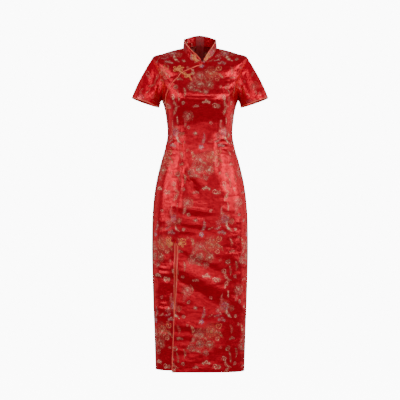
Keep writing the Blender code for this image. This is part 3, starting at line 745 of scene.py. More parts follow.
def scroll(w, spot, pitch, thick, outer, inner):
    """A curled line: a spiral that runs out into a tail."""
    x, y = w.split(spot)
    r = w.vec("LENGTH", spot)
    a = w.sum("DIVIDE", w.sum("ARCTAN2", y, x), 6.28318)
    coil = w.sum("FRACT", w.sum("SUBTRACT", w.sum("DIVIDE", r, pitch), a))
    near = w.sum("ABSOLUTE", w.sum("SUBTRACT", coil, 0.5))
    line = w.step(near, w.sum("MULTIPLY", thick, 1.3), w.sum("MULTIPLY", thick, 0.8))
    inside = w.step(r, 1.0, 0.94)
    return w.mix(w.step(near, 0.03, 0.15), inner, outer), w.sum("MULTIPLY", inside, line)


OLIVE = linear(0.47, 0.37, 0.25)
GOLD = linear(0.74, 0.50, 0.34)
CORAL = linear(0.84, 0.38, 0.28)
PINK = linear(0.84, 0.42, 0.40)
ROSE = linear(0.80, 0.27, 0.27)
CREAM = linear(0.94, 0.80, 0.66)
BLUE = linear(0.54, 0.54, 0.66)
LILAC = linear(0.60, 0.42, 0.52)
GREY = linear(0.56, 0.48, 0.42)
SAGE = linear(0.44, 0.43, 0.34)
TILE = (0.202, 0.331)

# The brocade's repeat: kind, place across and up in mm, turn in degrees, size in mm, numbers of
# the kind (flower: petals, depth, layers, swirl; scroll: pitch, thickness), colours.
ROUNDS = (
    ("flower", 31, -38, 10, 25, (13, 0.30, 3.4, 1.1), (CORAL, OLIVE, GOLD)),
    ("flower", -12, -46, 0, 18, (11, 0.36, 2.8, 1.5), (PINK, SAGE, GREY)),
    ("flower", -12, -84, 0, 18, (11, 0.42, 2.4, 0.8), (GREY, CREAM, SAGE)),
    ("flower", 24, -86, 20, 16, (9, 0.40, 2.2, 0.6), (SAGE, GREY, CREAM)),
    ("flower", -44, -98, 0, 15, (8, 0.45, 2.0, 0.6), (GREY, PINK, ROSE)),
    ("flower", -6, 0, 0, 14, (5, 0.50, 1.6, 0.3), (BLUE, LILAC, CREAM)),
    ("flower", 10, -116, 0, 13, (7, 0.42, 1.8, 0.6), (GREY, PINK, ROSE)),
    ("flower", 84, -272, 0, 18, (9, 0.48, 2.4, 1.2), (LILAC, GREY, ROSE)),
    ("flower", 60, -286, 0, 13, (7, 0.48, 1.8, 1.0), (PINK, LILAC, ROSE)),
    ("flower", 66, -98, 0, 8, (5, 0.35, 1.4, 0.0), (ROSE, PINK, ROSE)),
    ("flower", 60, -172, 0, 11, (6, 0.35, 1.5, 0.0), (SAGE, PINK, ROSE)),
    ("flower", 30, -240, 0, 8, (6, 0.35, 1.2, 0.0), (PINK, ROSE, ROSE)),
    ("flower", -60, -212, 0, 16, (9, 0.40, 2.2, 0.5), (PINK, ROSE, PINK)),
    ("flower", -55, -256, 0, 8, (5, 0.20, 1.2, 0.0), (GREY, CREAM, OLIVE)),
    ("flower", -29, -278, 0, 11, (7, 0.46, 1.6, 0.5), (GREY, OLIVE, CREAM)),
    ("flower", -92, -281, 0, 13, (7, 0.40, 1.8, 0.4), (OLIVE, LILAC, ROSE)),
    ("flower", -74, -312, 0, 8, (5, 0.32, 1.2, 0.0), (GREY, PINK, CREAM)),
    ("flower", -58, -12, 0, 7, (5, 0.30, 1.2, 0.0), (ROSE, PINK, OLIVE)),
    ("flower", -76, -160, 0, 8, (5, 0.20, 1.2, 0.0), (GREY, OLIVE, ROSE)),
    ("scroll", 58, -16, 40, 14, (0.62, 0.20), (CORAL, GOLD)),
    ("scroll", 46, -172, 200, 11, (0.72, 0.20), (PINK, CREAM)),
    ("scroll", 94, -102, 60, 11, (0.66, 0.20), (OLIVE, GREY)),
    ("scroll", 81, -141, 150, 10, (0.66, 0.20), (GREY, CREAM)),
    ("scroll", 52, -64, 100, 11, (0.70, 0.20), (PINK, GOLD)),
    ("cloud", 72, 8, -8, 18, (), (BLUE, GREY)),
    ("cloud", -28, -172, 6, 14, (), (PINK, GREY)),
    ("cloud", 12, -156, -4, 19, (), (PINK, CREAM)),
    ("cloud", -88, -64, 4, 14, (), (GREY, SAGE)),
)
# The leaves lie beneath: numbers are the slimness, bend, barbs and taper.
LEAVES = (
    ("leaf", -40, -30, 100, 20, (4.0, 0.3, 3.0, 0.0), (CREAM, GOLD)),
    ("leaf", -38, -66, 62, 22, (3.6, 0.3, 8.0, 0.3), (GREY, ROSE)),
    ("leaf", 4, -62, 140, 20, (4.4, 0.4, 6.0, 0.3), (ROSE, OLIVE)),
    ("leaf", -22, -112, 165, 20, (3.6, 0.3, 6.0, 0.4), (GREY, SAGE)),
    ("leaf", 58, -46, -30, 26, (4.4, -0.4, 7.0, 0.4), (CORAL, OLIVE)),
    ("leaf", -70, -120, 95, 20, (4.8, 0.3, 4.0, 0.3), (GREY, OLIVE)),
    ("leaf", 93, -160, -56, 22, (4.6, 0.60, 0.0, 0.0), (CREAM, CREAM)),
    ("leaf", 90, -188, 62, 20, (3.0, 0.0, 0.0, 0.0), (CREAM, CREAM)),
    ("leaf", 105, -136, 98, 26, (9.0, 0.24, 2.0, 0.0), (GREY, OLIVE)),
    ("leaf", 97, -226, 92, 16, (5.0, 0.0, 4.0, 0.0), (PINK, CREAM)),
    ("leaf", -42, -208, 104, 20, (7.0, 0.3, 3.0, 0.3), (PINK, OLIVE)),
    ("leaf", 72, -244, -86, 22, (3.8, 0.25, 11.0, 0.4), (ROSE, PINK)),
    ("leaf", 98, -300, -62, 24, (3.8, 0.4, 3.0, 0.0), (GREY, CREAM)),
    ("leaf", 56, -306, 20, 16, (4.0, 0.2, 4.0, 0.0), (LILAC, GREY)),
    ("leaf", -70, -236, 84, 20, (3.6, 0.2, 6.0, -0.4), (PINK, ROSE)),
    ("leaf", 2, -298, 78, 24, (4.2, 0.3, 5.0, -0.4), (LILAC, GREY)),
    ("leaf", 30, -306, 30, 14, (4.4, 0.2, 3.0, -0.2), (SAGE, ROSE)),
    ("leaf", -92, -30, 100, 20, (4.0, 0.3, 5.0, 0.2), (OLIVE, ROSE)),
)


def leaf_layer(w, cloth):
    """The leaves, which lie beneath: their colour and cover."""
    low = Motifs(w, cloth, LEAVES)
    rows = [m[5] for m in LEAVES]
    numbers, taper = low.look([(a / 10, b / 2 + 0.5, c / 16, d / 2 + 0.5) for a, b, c, d in rows])
    parts = w.node("ShaderNodeSeparateColor")
    w.put(parts.inputs[0], numbers)
    slim = w.sum("DIVIDE", 0.1, parts.outputs[0])
    bend = w.sum("MULTIPLY_ADD", parts.outputs[1], 2.0, -1.0)
    barbs = w.sum("MULTIPLY", parts.outputs[2], 16 * math.pi)
    taper = w.sum("MULTIPLY_ADD", taper, 2.0, -1.0)
    outer, inner = (low.look([m[6][k] for m in LEAVES])[0] for k in (0, 1))
    return leaf(w, low.spot, slim, bend, barbs, taper, outer, inner)


def round_layer(w, cloth):
    """The flowers, scrolls and clouds: their colour and cover, how far off the nearest is, its layers."""
    top = Motifs(w, cloth, ROUNDS)
    rows = [(m[5] + (0, 0, 0, 0))[:4] for m in ROUNDS]
    numbers, swirl = top.look([(a / 16, b, c / 4, e / 2) for a, b, c, e in rows])
    parts = w.node("ShaderNodeSeparateColor")
    w.put(parts.inputs[0], numbers)
    outer, inner, heart = (top.look([(m[6] + m[6])[k] for m in ROUNDS])[0] for k in (0, 1, 2))
    petals = w.sum("MULTIPLY", parts.outputs[0], 8.0)
    layers = w.sum("MULTIPLY", parts.outputs[2], 4.0)
    swirl = w.sum("MULTIPLY", swirl, 2.0)
    one = flower(w, top.spot, petals, parts.outputs[1], layers, swirl, outer, inner, heart)
    pitch = w.sum("MULTIPLY", parts.outputs[0], 16.0)
    two = scroll(w, top.spot, pitch, parts.outputs[1], outer, inner)
    three = cloud(w, top.spot, outer, inner)
    flowers = sum(m[0] == "flower" for m in ROUNDS) / len(ROUNDS)
    scrolls = sum(m[0] != "cloud" for m in ROUNDS) / len(ROUNDS)
    late, last = (w.sum("GREATER_THAN", top.number, k) for k in (flowers, scrolls))
    colour = w.mix(last, w.mix(late, one[0], two[0]), three[0])
    cover = w.sum("MULTIPLY_ADD", w.sum("SUBTRACT", two[1], one[1]), late, one[1])
    cover = w.sum("MULTIPLY_ADD", w.sum("SUBTRACT", three[1], cover), last, cover)
    return colour, cover, top.far, parts.outputs[2]


def tendrils(w, flow, far, layers):
    """Fine curling lines on the ground round the large flowers."""
    bent = w.sum("FRACT", w.sum("MULTIPLY", flow, 9.0))
    line = w.step(w.sum("ABSOLUTE", w.sum("SUBTRACT", bent, 0.5)), 0.22, 0.12)
    close = w.step(far, 1.60, 1.10, 0.0, 0.55)
    return w.sum("MULTIPLY", line, w.sum("MULTIPLY", close, w.step(layers, 0.46, 0.54)))


def brocade_group():
    """The whole woven pattern on the cloth's lengths: its colour with painted glints, and where it covers
    the satin.
    """
    w, get, give = new_group("brocade", (("Cloth", VECTOR, None),), MOTIF_OUT)
    # Every thread wanders a little, so that no outline is ruled.
    cloth = get.outputs["Cloth"]
    wander = w.noise(w.vec("MULTIPLY", cloth, (170.0, 170.0, 1.0)), 1.0)
    aside = w.vec("MULTIPLY_ADD", wander.outputs[1], (0.010, 0.010, 0.0), (-0.005, -0.005, 0.0))
    cloth = w.vec("ADD", cloth, aside)
    colour, mask = leaf_layer(w, cloth)
    over, cover, far, layers = round_layer(w, cloth)
    flow = w.noise(w.vec("MULTIPLY", cloth, (95.0, 80.0, 1.0)), 0.0).outputs[0]
    tint = w.mix(w.step(wander.outputs[0], 0.42, 0.58), OLIVE, PINK)
    both = w.sum("MAXIMUM", mask, cover)
    colour = w.mix(both, tint, w.mix(cover, colour, over))
    # Painted highlights: flecks of cream mixed into the motifs' colour where the flowing noise is high,
    # standing in for glints of light on the threads.
    painted_glint = w.step(flow, 0.55, 0.62, 0.0, 0.45)
    w.put(give.inputs["Colour"], w.mix(painted_glint, colour, CREAM))
    w.put(give.inputs["Mask"], w.sum("MAXIMUM", both, tendrils(w, flow, far, layers)))
    return w.tree


def weave_group():
    """Fine satin threads: a height across and along the cloth, and a slow unevenness."""
    w, get, give = new_group("satin weave", (("Cloth", VECTOR, None), ("Thread", FLOAT, 0.0006)),
                             (("Height", FLOAT), ("Slub", FLOAT)))
    x, y = w.split(get.outputs["Cloth"])
    along = w.sum("SINE", w.sum("DIVIDE", w.sum("MULTIPLY", x, 6.28318), get.outputs["Thread"]))
    across = w.sum("SINE", w.sum("DIVIDE", w.sum("MULTIPLY", y, 3.1), get.outputs["Thread"]))
    height = w.sum("ADD", w.sum("MULTIPLY", along, 0.6), w.sum("MULTIPLY", across, 0.4))
    slub = w.noise(w.vec("MULTIPLY", get.outputs["Cloth"], (60.0, 420.0, 1.0)), 3.0)
    w.put(give.inputs["Height"], height)
    w.put(give.inputs["Slub"], slub.outputs[0])
    return w.tree


def new_material(name):
    """An empty material with its wiring and its Principled shader."""
    made = bpy.data.materials.new(name)
    made.use_nodes = True
    tree = made.node_tree
    tree.nodes.clear()
    w = Wiring(tree)
    shader = w.node("ShaderNodeBsdfPrincipled")
    end = w.node("ShaderNodeOutputMaterial")
    tree.links.new(shader.outputs[0], end.inputs[0])
    return made, w, shader


def cloth_lengths(w):
    """The piece's own lengths, in metres across and up the cloth."""
    return w.node("ShaderNodeUVMap", uv_map="cloth").outputs[0]


def brocade_material(name, groups, base, deep, shown=1.0, gleam=0.62):
    """Satin with the woven pattern. shown is the pattern's strength, gleam the satin's."""
    made, w, shader = new_material(name)
    cloth = cloth_lengths(w)
    pattern = w.node("ShaderNodeGroup", node_tree=groups["brocade"])
    w.put(pattern.inputs["Cloth"], cloth)
    weave = w.node("ShaderNodeGroup", node_tree=groups["weave"])
    w.put(weave.inputs["Cloth"], cloth)
    ground = w.mix(w.step(weave.outputs["Slub"], 0.3, 0.7), deep, base)
    thread = w.noise(w.vec("MULTIPLY", cloth, (500.0, 1500.0, 1.0)), 1.0)
    worn = w.step(thread.outputs[0], 0.34, 0.60, 0.55 * shown, 0.96 * shown)
    cover = w.sum("MULTIPLY", pattern.outputs["Mask"], worn)
    w.put(shader.inputs["Base Color"], w.mix(cover, ground, pattern.outputs["Colour"]))
    w.put(shader.inputs["Roughness"], w.step(cover, 0.0, 1.0, 0.22, 0.48))
    w.put(shader.inputs["Metallic"], w.step(cover, 0.0, 1.0, gleam, 0.20))
    shader.inputs["Sheen Weight"].default_value = 0.08
    shader.inputs["Sheen Roughness"].default_value = 0.4
    shader.inputs["Sheen Tint"].default_value = (1.0, 0.20, 0.24, 1.0)
    shader.inputs["Specular IOR Level"].default_value = 0.25
    shader.inputs["Specular Tint"].default_value = (1.0, 0.30, 0.34, 1.0)
    # Slow uneven waves across the cloth, finer up and down than round, under the threads.
    drape = w.noise(w.vec("MULTIPLY", cloth, (13.0, 34.0, 1.0)), 2.0)
    drape.inputs["Roughness"].default_value = 0.4
    waves = w.bump(drape.outputs[0], 1.0, 0.0042)
    w.put(shader.inputs["Normal"], w.bump(weave.outputs["Height"], 0.2, 0.0003, waves))
    return made


def plain_satin(name, groups, base, deep, rough):
    """Satin with no pattern."""
    made, w, shader = new_material(name)
    weave = w.node("ShaderNodeGroup", node_tree=groups["weave"])
    w.put(weave.inputs["Cloth"], cloth_lengths(w))
    w.put(shader.inputs["Base Color"], w.mix(w.step(weave.outputs["Slub"], 0.3, 0.7), deep, base))
    w.put(shader.inputs["Roughness"], w.step(weave.outputs["Slub"], 0.2, 0.8, rough, rough + 0.1))
    shader.inputs["Sheen Weight"].default_value = 0.2
    w.put(shader.inputs["Normal"], w.bump(weave.outputs["Height"], 0.3, 0.0003))
    return made


def cord_material(name, light, dark, twist, rough):
    """Twisted satin cord: slanted strands along the cord's length, with painted shade in the grooves
    between them.
    """
    made, w, shader = new_material(name)
    x, y = w.split(cloth_lengths(w))
    strand = w.sum("FRACT", w.sum("ADD", w.sum("DIVIDE", x, twist), w.sum("MULTIPLY", y, 2.0)))
    crown = w.sum("SINE", w.sum("MULTIPLY", strand, 3.14159))
    # Painted shade: each strand's colour darkens towards the grooves between strands and is lighter on its
    # crown.
    w.put(shader.inputs["Base Color"], w.mix(w.step(crown, 0.05, 0.7), dark, light))
    w.put(shader.inputs["Roughness"], w.step(crown, 0.0, 1.0, rough + 0.2, rough))
    shader.inputs["Sheen Weight"].default_value = 0.2
    w.put(shader.inputs["Normal"], w.bump(crown, 0.6, 0.0004))
    return made


def metal_material(name, light, dark):
    """Enamelled metal, a little uneven."""
    made, w, shader = new_material(name)
    place = w.node("ShaderNodeTexCoord").outputs["Object"]
    noise = w.node("ShaderNodeTexNoise")
    noise.inputs["Scale"].default_value = 900.0
    w.put(noise.inputs["Vector"], place)
    w.put(shader.inputs["Base Color"], w.mix(noise.outputs[0], light, dark))
    w.put(shader.inputs["Roughness"], w.step(noise.outputs[0], 0.3, 0.7, 0.25, 0.4))
    shader.inputs["Coat Weight"].default_value = 0.4
    return made


FINISH = {}


def finishes():
    """The materials, made once, from the colours set in the panel."""
    if FINISH:
        return FINISH
    cloth = bpy.context.scene.dress_cloth
    groups = {"brocade": brocade_group(), "weave": weave_group()}
    satin = tuple(cloth.satin) + (1.0,)
    satin_deep = tuple(cloth.satin_deep) + (1.0,)
    piping = tuple(cloth.piping) + (1.0,)
    frog = tuple(cloth.frog) + (1.0,)
    enamel = linear(0.62, 0.03, 0.06)
    enamel_deep = tuple(0.8 * c for c in enamel[:3]) + (1.0,)
    FINISH["brocade"] = brocade_material("red brocade", groups, satin, satin_deep)
    # The sleeves: the same brocade with fewer motifs, and its ground painted lighter as a painted sheen
    # for the brighter light on the sleeves.
    FINISH["sleeve"] = brocade_material(
        "red brocade of the sleeves, painted lighter", groups, linear(0.94, 0.03, 0.18), linear(0.82, 0.015, 0.14), 0.55)
    # The collar: the same brocade with less gleam, and its ground painted darker as painted shade to tone
    # down the light that it catches.
    FINISH["collar"] = brocade_material(
        "red brocade of the collar, painted darker", groups, linear(0.72, 0.04, 0.12), linear(0.58, 0.03, 0.09), 1.0, 0.30)
    # Plain red satin for the strip behind the slit: its own plain red, painted lighter to make up for the
    # shade in which the strip lies.
    FINISH["plain"] = plain_satin(
        "plain red satin", groups, linear(0.94, 0.06, 0.12), linear(0.86, 0.04, 0.09), 0.40)
    FINISH["tape"] = plain_satin(
        "dark red zip tape", groups, linear(0.66, 0.04, 0.09), linear(0.54, 0.03, 0.07), 0.60)
    # Both cords: the second colour is painted shade, laid in the grooves between the strands.
    FINISH["piping"] = cord_material("coral piping", piping, linear(0.94, 0.24, 0.20), 0.004, 0.4)
    FINISH["frog"] = cord_material("gold and coral cord", frog, linear(0.90, 0.26, 0.16), 0.0022, 0.38)
    FINISH["metal"] = metal_material("red enamel", enamel, enamel_deep)
    return FINISH


# ---------------------------------------------------------------- pieces
def flat_lengths(points, degrees, spine):
    """Lengths above the bust, cut nearly flat: straight across, and up and over the shoulder."""
    back = abs(spine) > 90
    middle = 180.0 if back else 0.0
    at = np.array((FLAT_FROM,))
    high = rise(at, spine)[0] - bare(at, np.array((middle,)))[0, 2]
    across = np.sign(degrees[:, :1]) * BACK_HALF - points[..., 0] if back else points[..., 0]
    ring = bare(np.full(91, FLAT_FROM), np.linspace(middle, 90.0, 91))
    aside = np.abs(points[..., 0])
    base = np.interp(aside, ring[:, 0], ring[:, 2])
    climb = points[..., 2] - base
    inward = points[..., 1] - np.interp(aside, ring[:, 0], ring[:, 1])
    climb = np.where(climb > 0, np.hypot(climb, inward), climb)
    return np.stack((across, base + climb + high), -1)


def panel_grid(levels, left, right, count, spine, out=None, shift=0.0, gaps=(GAP, GAP)):
    """Outer points, normals and cloth lengths of a panel between two edges."""
    levels = np.asarray(levels, float)
    left = np.broadcast_to(left, levels.shape).astype(float)
    right = np.broadcast_to(right, levels.shape).astype(float)
    gl = np.broadcast_to(gaps[0], levels.shape)
    gr = np.broadcast_to(gaps[1], levels.shape)
    start = left + gl / 2 / bare_frame(levels, left)[3]
    stop = right - gr / 2 / bare_frame(levels, right)[3]
    degrees = start[:, None] + (stop - start)[:, None] * spaced(count)[None]
    grid_l = np.repeat(levels[:, None], count + 1, 1)
    extra = shift + (out(grid_l, degrees) if out else 0.0)
    points, normals = body(grid_l, degrees, extra)
    upward = np.repeat(rise(levels, spine)[:, None], count + 1, 1)
    lengths = np.stack((arc(levels, degrees), upward), -1)
    if abs(spine) > 90:
        # Measured from the centre back, so that the pattern runs straight beside the zip.
        half = arc(levels, np.full((len(levels), 1), 180.0))
        lengths[..., 0] += np.sign(degrees[:, :1]) * (BACK_HALF - half)
    straight = flat_lengths(points, degrees, spine)
    share = np.clip((grid_l + 0.17) / 0.12, 0.0, 1.0)[..., None]
    share = share * share * (3 - 2 * share)
    return points, normals, lengths + (straight - lengths) * share


def shifted(grid, dx=0.0, dy=0.0):
    """The same panel with the pattern moved to its place on it."""
    p, n, t = grid
    return p, n, t + np.array((PATTERN_SHIFT[0] + dx, PATTERN_SHIFT[1] + dy))


def put_on(obj, body_name, slot_name, *nodes):
    """Puts a piece on its body and hides the solids that it stands in for. The slot's name is not used."""
    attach(obj, body_name)
    if nodes:
        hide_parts(*nodes)


def make_front():
    """The front from the slanted opening to the side seam, slashed at the dart and the slit."""
    step = bpy.context.scene.dress_cloth.row_step
    near = LEVELS_CAD[(LEVELS_CAD < UNDERARM) & (LEVELS_CAD > -0.27)]
    marks = {float(v) for v in near} | {-0.745, -0.762, SHOULDER, UNDERARM}
    levels = even_levels(NECK, HEM, step, sorted(marks, reverse=True))
    left = opening_angle(levels)
    right = 90.0 - armhole(levels)
    above = levels > BUST_TIP + 1e-6
    tip = levels[np.argmin(np.abs(levels - BUST_TIP))]
    tip_left = float(opening_angle(np.array([tip]))[0])
    share = (float(look_up(SLASH, tip)) - tip_left) / (90.0 - tip_left)
    split_top = left + (right - left) * share
    main_edge = np.where(above, split_top, look_up(SLASH, levels, 1))
    side_edge = np.where(above, split_top, look_up(SLASH, levels, 2))
    at_seam = np.where(levels >= tip - 1e-6, 0.0, GAP)
    side = panel_grid(levels, left, side_edge, 34, 0.0, gaps=(GAP, at_seam))
    main = panel_grid(levels, main_edge, right, 92, 0.0, out=main_out, gaps=(at_seam, GAP))
    # At the hem the side panel hangs a little shorter than the middle one.
    side[0][-1] += np.array((0, 0, 0.003))
    main[0][-1] -= np.array((0, 0, 0.003))
    # Below the dart's tip the side panel's pattern is moved across, as cloth taken in by a dart is.
    cut = np.clip((tip - levels) / 0.1, 0, 1)[:, None]
    side[2][:, :, 0] -= cut * 0.008
    obj = slab("front_panel", [shifted(side), shifted(main)], finishes()["brocade"], WALL)
    put_on(obj, "dress", "satin", "front")


def make_yoke():
    """The piece of the right front above the slanted opening."""
    levels = even_levels(NECK, OPEN_END, 0.004, [0.078, SHOULDER, -0.05, UNDERARM, -0.236, -0.247])
    grid = panel_grid(levels, -90.0 + armhole(levels), opening_angle(levels), 40, 0.0)
    obj = slab("front_yoke_panel", [shifted(grid)], finishes()["brocade"], WALL)
    put_on(obj, "dress", "satin", "front_yoke")


def make_backs():
    """The two halves of the back."""
    step = bpy.context.scene.dress_cloth.row_step
    levels = even_levels(NECK, HEM, step, [SHOULDER, -0.05, UNDERARM])
    for name, sign in (("back_left", 1), ("back_right", -1)):
        a = 90.0 + armhole(levels)
        b = np.full(len(levels), 180.0)
        grid = (panel_grid(levels, a, b, 60, 180.0) if sign > 0
                else panel_grid(levels, -b, -a, 60, 180.0))
        obj = slab(name + "_panel", [shifted(grid, -0.30 * sign)], finishes()["brocade"], WALL)
        put_on(obj, "dress", "satin", name)


def armhole_loop(sign):
    """Levels and angles round the armhole, down its front and up its back."""
    inside = (LEVELS_CAD <= SHOULDER + 1e-6) & (LEVELS_CAD >= UNDERARM - 1e-6)
    levels = finer(LEVELS_CAD[inside], 6)
    front = np.stack((levels, sign * (90.0 - armhole(levels))), -1)
    back = np.stack((levels, sign * (90.0 + armhole(levels))), -1)[-2:0:-1]
    return np.concatenate((front, back))


def sleeve_points(sign, loop, t):
    """A ring of the sleeve at a share of its length."""
    count = len(loop)
    start = body(loop[:, 0], loop[:, 1])[0]
    x, y, z, half, deep, slope = SLEEVE_HEM
    around = 2 * math.pi * np.arange(count) / count
    tilt = math.radians(slope)
    across = np.array((sign * math.cos(tilt), 0, math.sin(tilt)))
    end = np.array((sign * x, y, z)) + across * half * np.cos(around)[:, None]
    end = end + np.array((0, -1.0, 0)) * deep * np.sin(around)[:, None]
    reach = np.linalg.norm(end - start, axis=-1, keepdims=True)
    away = np.stack((np.full(count, sign * 0.62), np.zeros(count), -0.85 - 0.15 * np.cos(around)), -1)
    away = unit(away) * reach
    down = np.array((sign * 0.33, 0.0, -0.94)) * reach
    return ((2 * t**3 - 3 * t**2 + 1) * start + (t**3 - 2 * t**2 + t) * away
            + (-2 * t**3 + 3 * t**2) * end + (t**3 - t**2) * down)


def sleeve_ridge(s, t, table):
    """How far the sleeve's folds of a table stand out."""
    out = np.zeros(np.shape(s))
    for s0, t0, s1, t1, half, height in table:
        ux, uy = s1 - s0, (t1 - t0) * 0.45
        for turn in (0, 1, -1):
            qx, qy = s + turn - s0, (t - t0) * 0.45
            w = np.clip((qx * ux + qy * uy) / (ux * ux + uy * uy), 0.0, 1.0)
            off = np.hypot(qx - ux * w, qy - uy * w)
            out += height * np.exp(-(off / half) ** 2) * np.sin(math.pi * (0.1 + 0.8 * w))
    return out


def sleeve_grid(sign):
    """Outer points, normals and cloth lengths of one sleeve, from the armhole to the hem."""
    loop = armhole_loop(sign)
    count = len(loop)
    ts = np.linspace(0, 1, SLEEVE_ROWS + 1)
    rings = np.stack([sleeve_points(sign, loop, t) for t in ts])
    # The cap's first row is turned in under the body, as a seam is.
    rings[0] -= np.array((sign * 0.0022, 0, 0)) + unit(rings[1] - rings[0]) * 0.0015
    along = np.gradient(rings, axis=0)
    around = np.roll(rings, -1, 1) - np.roll(rings, 1, 1)
    n = unit(np.cross(around, along) * sign)
    s = np.repeat((np.arange(count) / count)[None], SLEEVE_ROWS + 1, 0)
    t = np.repeat(ts[:, None], count, 1)
    out = sleeve_ridge(s, t, SLEEVE_FOLDS) * np.sin(math.pi * np.minimum(1.0, 0.08 + t * 0.7))
    out = out + sleeve_ridge(s, t, SLEEVE_CREASES)
    points = rings + n * out[..., None]
    # Lengths follow the hem's girth, so that the pattern keeps its scale.
    lengths = np.stack((s * 0.40 * -sign, -t * 0.16 + 0.73), -1)
    grid = [np.concatenate((g, g[:, :1]), 1) for g in (points, n)]
    last = lengths[:, :1] + np.array((0.40 * -sign, 0))
    grid.append(np.concatenate((lengths, last), 1))
    if sign > 0:
        grid = [g[:, ::-1] for g in grid]
    return grid


def make_sleeves():
    """Both sleeves and the piping of their hems."""
    for name, sign in (("sleeve_left", 1), ("sleeve_right", -1)):
        grid = sleeve_grid(sign)
        obj = slab(name + "_cloth", [shifted(grid, 0.02)], finishes()["sleeve"], WALL)
        put_on(obj, "dress", "satin", name)
        points, n = grid[0][:, :-1], grid[1][:, :-1]
        on = unit(points[-1] - points[-2])
        path = points[-1] - n[-1] * WALL / 2 + on * PIPE * 0.5
        pipe = cord_mesh("piping_hem_" + name, [path], PIPE, finishes()["piping"], True)
        put_on(pipe, "dress", "piping", "piping_" + name)


def collar_points(degrees, share, right_side, out=0.0):
    """Points and normals of the collar at a share of its height."""
    degrees = np.asarray(degrees, float)
    delta = degrees - COLLAR_MEET
    delta = np.where(delta > 180.0, delta - 360.0, delta)
    delta = np.where(delta < -180.0, delta + 360.0, delta)
    high = look_up(COLLAR, np.abs(delta), 1 if right_side else 2)
    p = bare(np.full(np.shape(degrees), NECK), degrees)
    a = np.radians(degrees)
    flat = np.stack((np.sin(a) / 0.066, -np.cos(a) / np.where(np.cos(a) > 0, 0.070, 0.055), 0 * a), -1)
    flat = unit(flat)
    above = 0.0005 + share * high
    lean = -0.112 * share * high
    up = np.stack((0 * a, 0 * a, above), -1)
    return p + flat * np.expand_dims(lean + out, -1) + up, flat


def collar_span(right_side, count):
    """Angles of one half of the collar, from the front meeting point to the centre back."""
    half = GAP / 2 / 0.0011
    if right_side:
        return np.linspace(COLLAR_MEET - half, -180.0 + half, count + 1)
    return np.linspace(COLLAR_MEET + half, 180.0 - half, count + 1)


def make_collars():
    """Both halves of the collar and the piping of their top edges."""
    for name, right_side in (("collar_right", True), ("collar_left", False)):
        degrees = collar_span(right_side, 90)
        shares = np.append(np.linspace(1.0, 0.02, 15), -0.07)
        rows = [collar_points(degrees, s, right_side, -0.0004 if s < 0 else 0.0) for s in shares]
        points = np.stack([r[0] for r in rows])
        normals = np.stack([r[1] for r in rows])
        across = np.repeat((degrees * 0.00112)[None], len(shares), 0)
        lengths = np.stack((across, points[..., 2] + 0.5), -1)
        grid = [points, normals, lengths]
        if right_side:
            grid = [g[:, ::-1] for g in grid]
        obj = slab(name + "_cloth", [shifted(grid, 0.05, 0.10)], finishes()["collar"], COLLAR_WALL)
        put_on(obj, "dress", "satin", name)
        span = degrees[3:58]
        top, flat = collar_points(span, 1.0, right_side)
        on = unit(np.gradient(top, axis=0))
        off = np.array((0, 0, 1.0)) - on * on[:, 2:3]
        path = top - flat * 0.0008 + unit(off) * PIPE * 0.5
        pipe = cord_mesh("piping_top_" + name, [path], PIPE, finishes()["piping"])
        put_on(pipe, "dress", "piping", "piping_" + name)


def edge_path(levels, degrees, out, across=0.0, lifted=False):
    """A line along an edge of the cloth, a distance out from it and across from it."""
    p, n, turn, _ = bare_frame(levels, degrees)
    more = main_out(levels, degrees) if lifted else 0.0
    far = fold_height(levels, degrees) + out + more
    return p + n * np.expand_dims(far, -1) + turn * across


def make_pipings():
    """The piping of the slanted opening and of the slit's two edges."""
    above = even_levels(0.0845, -0.250, 0.004, [0.078, -0.236, -0.247])
    below = even_levels(SLIT_TOP, HEM, 0.005)
    opening = edge_path(above, look_up(OPENING, above), PIPE * 0.6)
    main = edge_path(below, look_up(SLASH, below, 1), -WALL / 2, -PIPE * 0.5, True)
    side = edge_path(below, look_up(SLASH, below, 2), -WALL / 2, PIPE * 0.5)
    for name, node, path in (("piping_slanted", "piping_opening", opening),
                             ("piping_slit_main_edge", "piping_slit_main", main),
                             ("piping_slit_side_edge", "piping_slit_side", side)):
        pipe = cord_mesh(name, [path], PIPE, finishes()["piping"])
        put_on(pipe, "dress", "piping", node)


def make_underlap():
    """The plain strip behind the slit."""
    levels = even_levels(UNDERLAP_TOP, UNDERLAP_END, 0.006)
    grid = panel_grid(levels, -40.0, -20.0, 20, 0.0, shift=-0.0038, gaps=(0, 0))
    obj = slab("slit_underlap_strip", [shifted(grid)], finishes()["plain"], STRIP_WALL)
    put_on(obj, "dress", "plain", "slit_underlap")


def teeth_places():
    """Where the zip's teeth sit down the centre back, each with the way out of the cloth."""
    shares = np.linspace(0.98, 0.06, 16)
    places = []
    for share in shares:
        p, flat = collar_points(np.array((180.0,)), share, False)
        places.append((p[0] - flat[0] * 0.0041, flat[0]))
    for level in even_levels(NECK - 0.001, TEETH_END, 0.0026):
        p, n = body(np.array((level,)), np.array((180.0,)), -0.0039)
        places.append((p[0], n[0]))
    return places


